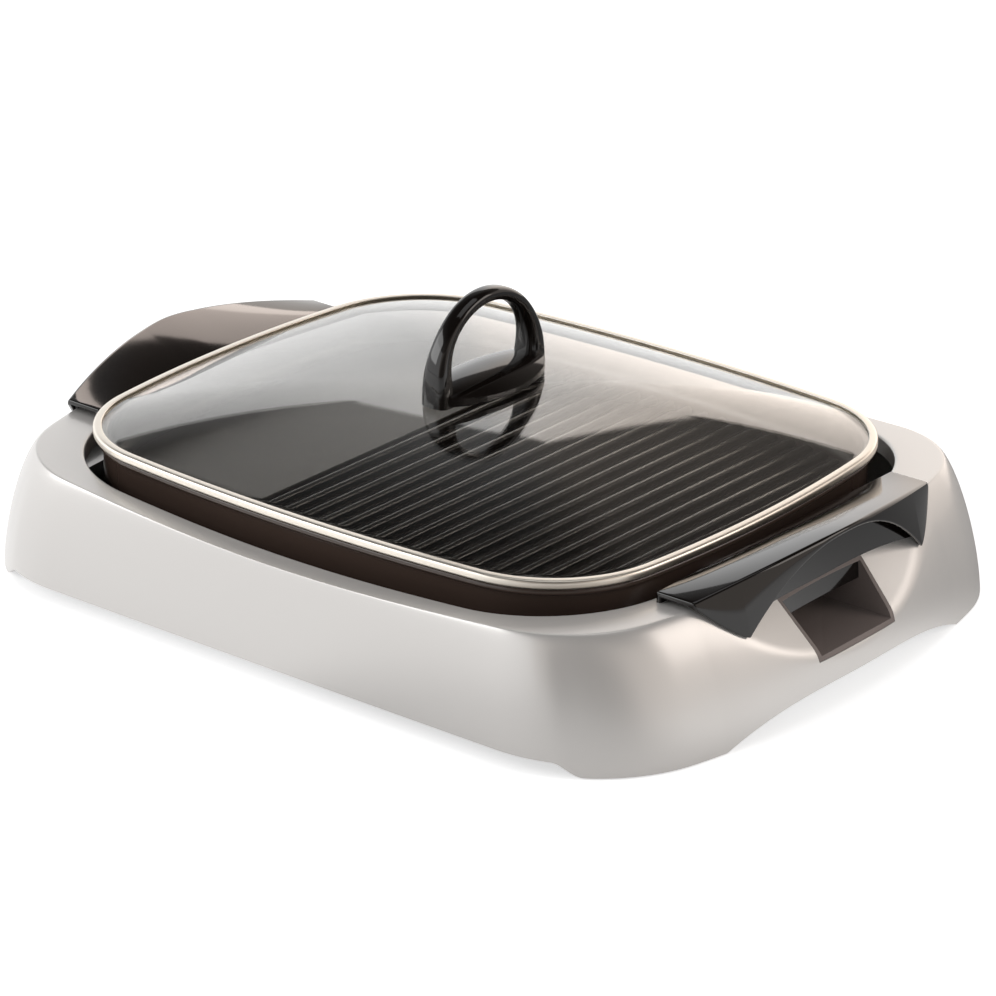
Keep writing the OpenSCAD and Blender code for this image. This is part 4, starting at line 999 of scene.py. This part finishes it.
def studio(add):
    """White to the camera. Mirror-like faces see a studio with a white sweep, a dim ceiling above it and a
    dark side. The rest get an even soft light."""
    way = add("TexCoord").outputs["Generated"]
    x, y, height = add("SeparateXYZ", {"Vector": way}).outputs
    heading = add("Math", {0: x, 1: y}, operation="ARCTAN2")
    # Headings are taken from the rear, clockwise seen from above
    warm = add("MapRange", {"Value": heading, "From Min": radians(-44), "From Max": radians(-30)}, **SOFT)
    bright = add("MapRange", {
        "Value": heading, "From Min": radians(-10), "From Max": radians(20),
        "To Min": 0.65, "To Max": 0}, **SOFT)
    right = add("MapRange", {
        "Value": heading, "From Min": 0, "From Max": radians(25), "To Max": 0.55}, **SOFT)
    # Heights are the sine of the elevation: the sweep ends at 29 degrees and the ceiling fades from there
    below = add("MapRange", {
        "Value": height, "From Min": 0.487, "From Max": 0.497, "To Min": 1, "To Max": 0}, **SOFT)
    ceiling = add("MapRange", {
        "Value": height, "From Min": 0.49, "From Max": 0.85, "To Min": 0.25, "To Max": 0}, **SOFT)
    sweep = add("Math", {0: warm, 1: bright, 2: 1.1}, operation="MULTIPLY_ADD")
    sweep = add("Math", {0: sweep, 1: right}, operation="SUBTRACT")
    seen = add("Math", {0: below, 1: sweep, 2: ceiling}, operation="MULTIPLY_ADD")
    seen = add("Math", {0: seen, 1: away(add, way)}, operation="MULTIPLY")
    seen = add("Math", {0: seen, 1: 0.03}, operation="MAXIMUM")
    # 1 for light that a mirror-like face sends on, and 1 for light that a matt face scatters
    path = add("LightPath").outputs
    scattered = add("Math", {0: path["Diffuse Depth"], 1: 1.0}, operation="MINIMUM")
    clean = add("Math", {0: 1.0, 1: scattered}, operation="SUBTRACT")
    mirrored = add("Math", {0: path["Glossy Depth"], 1: 1.0}, operation="MINIMUM")
    mirrored = add("Math", {0: mirrored, 1: clean}, operation="MULTIPLY")
    strength = add("Mix", {"Factor": mirrored, "A": 0.4, "B": seen})
    bounced = add("Math", {0: mirrored, 1: scattered}, operation="MAXIMUM")
    straight = add("Math", {0: 1.0, 1: bounced}, operation="SUBTRACT")
    straight = add("Math", {0: path["Is Transmission Ray"], 1: straight}, operation="MULTIPLY")
    white = add("Math", {0: path["Is Camera Ray"], 1: straight}, operation="MAXIMUM")
    strength = add("Mix", {"Factor": white, "A": strength, "B": 1.0})
    tinted = add("Math", {0: 1.0, 1: white}, operation="SUBTRACT")
    tinted = add("Math", {0: mirrored, 1: tinted}, operation="MULTIPLY")
    tinted = add("Math", {0: warm, 1: tinted}, operation="MULTIPLY")
    tint = add("Mix", {"Factor": tinted, "A": (1, 1, 1, 1), "B": (1, 0.9, 0.82, 1)}, data_type="RGBA")
    return add("Background", {"Color": tint.outputs["Result"], "Strength": strength})


class GRILL_OT_stage(bpy.types.Operator):
    """Adds the floor, the lamps, the surroundings and the camera"""
    bl_idname = "grill.stage"
    bl_label = "Stage"

    def execute(self, context):
        scene = context.scene
        bpy.ops.mesh.primitive_plane_add(size=30, location=(0, 0, 0))
        floor = context.active_object
        floor.name = "floor"
        paper = filled(bpy.data.materials.new("floor_paper"), "OutputMaterial", floor_paper)
        floor.data.materials.append(paper)
        scene.world = filled(bpy.data.worlds.new("studio"), "OutputWorld", studio)
        scene.world.cycles.sampling_method = "NONE"
        for name, place_at, size, power, tint, aim, receiver in LAMPS:
            lamp = bpy.data.lights.new(name, "AREA")
            lamp.shape, lamp.size, lamp.size_y = "RECTANGLE", *size
            lamp.energy, lamp.color = power, tint
            holder = bpy.data.objects.new(name, lamp)
            scene.collection.objects.link(holder)
            holder.location = place_at
            holder.rotation_euler = (Vector(aim) - Vector(place_at)).to_track_quat("-Z", "Y").to_euler()
            holder.visible_camera = False
            if receiver:
                lit = bpy.data.collections.new(name + "_lights")
                lit.objects.link(bpy.data.objects[receiver])
                holder.light_linking.receiver_collection = lit
        self.add_camera(scene)
        scene.view_settings.view_transform = "Standard"
        return {"FINISHED"}

    def add_camera(self, scene):
        """A long lens that looks down at the near right corner."""
        back = Vector((sin(CAMERA_AZ) * cos(CAMERA_EL), -cos(CAMERA_AZ) * cos(CAMERA_EL), sin(CAMERA_EL)))
        right = Vector((cos(CAMERA_AZ), sin(CAMERA_AZ), 0))
        up = back.cross(right)
        low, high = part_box("lid_rim")
        middle = Vector(((low.x + high.x) / 2, (low.y + high.y) / 2, 0))
        target = middle + right * CAMERA_AIM[0] + up * CAMERA_AIM[1]
        data = bpy.data.cameras.new("camera")
        data.sensor_width, data.lens = 36, CAMERA_LENS
        data.clip_start, data.clip_end = 0.05, 60
        camera = bpy.data.objects.new("camera", data)
        scene.collection.objects.link(camera)
        turn = Matrix((right, up, back)).transposed().to_4x4()
        camera.matrix_world = Matrix.Translation(target + back * CAMERA_DISTANCE) @ turn
        scene.camera = camera


CENTRE = (0, 0, 0.05)
# Each soft box: name, place, size, power, tint, the point it faces, and the piece it lights if only one
LAMPS = [
    ("soft_left", (-2.2, -2.0, 1.5), (2.2, 1.6), 32, (1, 1, 1), CENTRE, None),
    ("soft_right", (2.3, 1.45, 1.35), (1.6, 1.4), 17, (1, 0.92, 0.86), CENTRE, None),
    ("soft_top", (0.0, 0.2, 2.6), (2.0, 1.6), 8, (1, 1, 1), CENTRE, None),
    ("handle_card", (-0.484, 0.518, 0.455), (0.7, 0.24), 1.7, (1, 0.86, 0.78), (-0.208, 0, 0.081),
     "handle_left_moulding"),
]

PIECES = ["housing", "handles", "pocket", "plate", "glass", "rim", "knob", "finish", "stage"]


class GRILL_PT_panel(bpy.types.Panel):
    """Sizes, colours and build steps of the grill"""
    bl_idname = "GRILL_PT_panel"
    bl_label = "Electric table grill"
    bl_space_type = "VIEW_3D"
    bl_region_type = "UI"
    bl_category = "Grill"

    def draw(self, context):
        for group in GROUPS:
            sizes = getattr(context.scene, group)
            box = self.layout.box()
            box.label(text=group.replace("grill_", "").title())
            for name in sizes.__annotations__:
                box.prop(sizes, name)
        for piece in PIECES:
            self.layout.operator("grill." + piece)


GROUPS = {"grill_housing": HousingSizes, "grill_handle": HandleSizes, "grill_plate": PlateSizes,
          "grill_lid": LidSizes, "grill_colours": Colours}
CLASSES = [*GROUPS.values(), GRILL_OT_housing, GRILL_OT_handles, GRILL_OT_pocket, GRILL_OT_plate,
           GRILL_OT_glass, GRILL_OT_rim, GRILL_OT_knob, GRILL_OT_finish, GRILL_OT_stage, GRILL_PT_panel]


def register():
    for cls in CLASSES:
        bpy.utils.register_class(cls)
    for name, cls in GROUPS.items():
        setattr(bpy.types.Scene, name, PointerProperty(type=cls))


def unregister():
    for name in GROUPS:
        delattr(bpy.types.Scene, name)
    for cls in reversed(CLASSES):
        bpy.utils.unregister_class(cls)


def main():
    register()
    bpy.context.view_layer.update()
    for piece in PIECES:
        getattr(bpy.ops.grill, piece)()


if __name__ == "__main__":
    main()
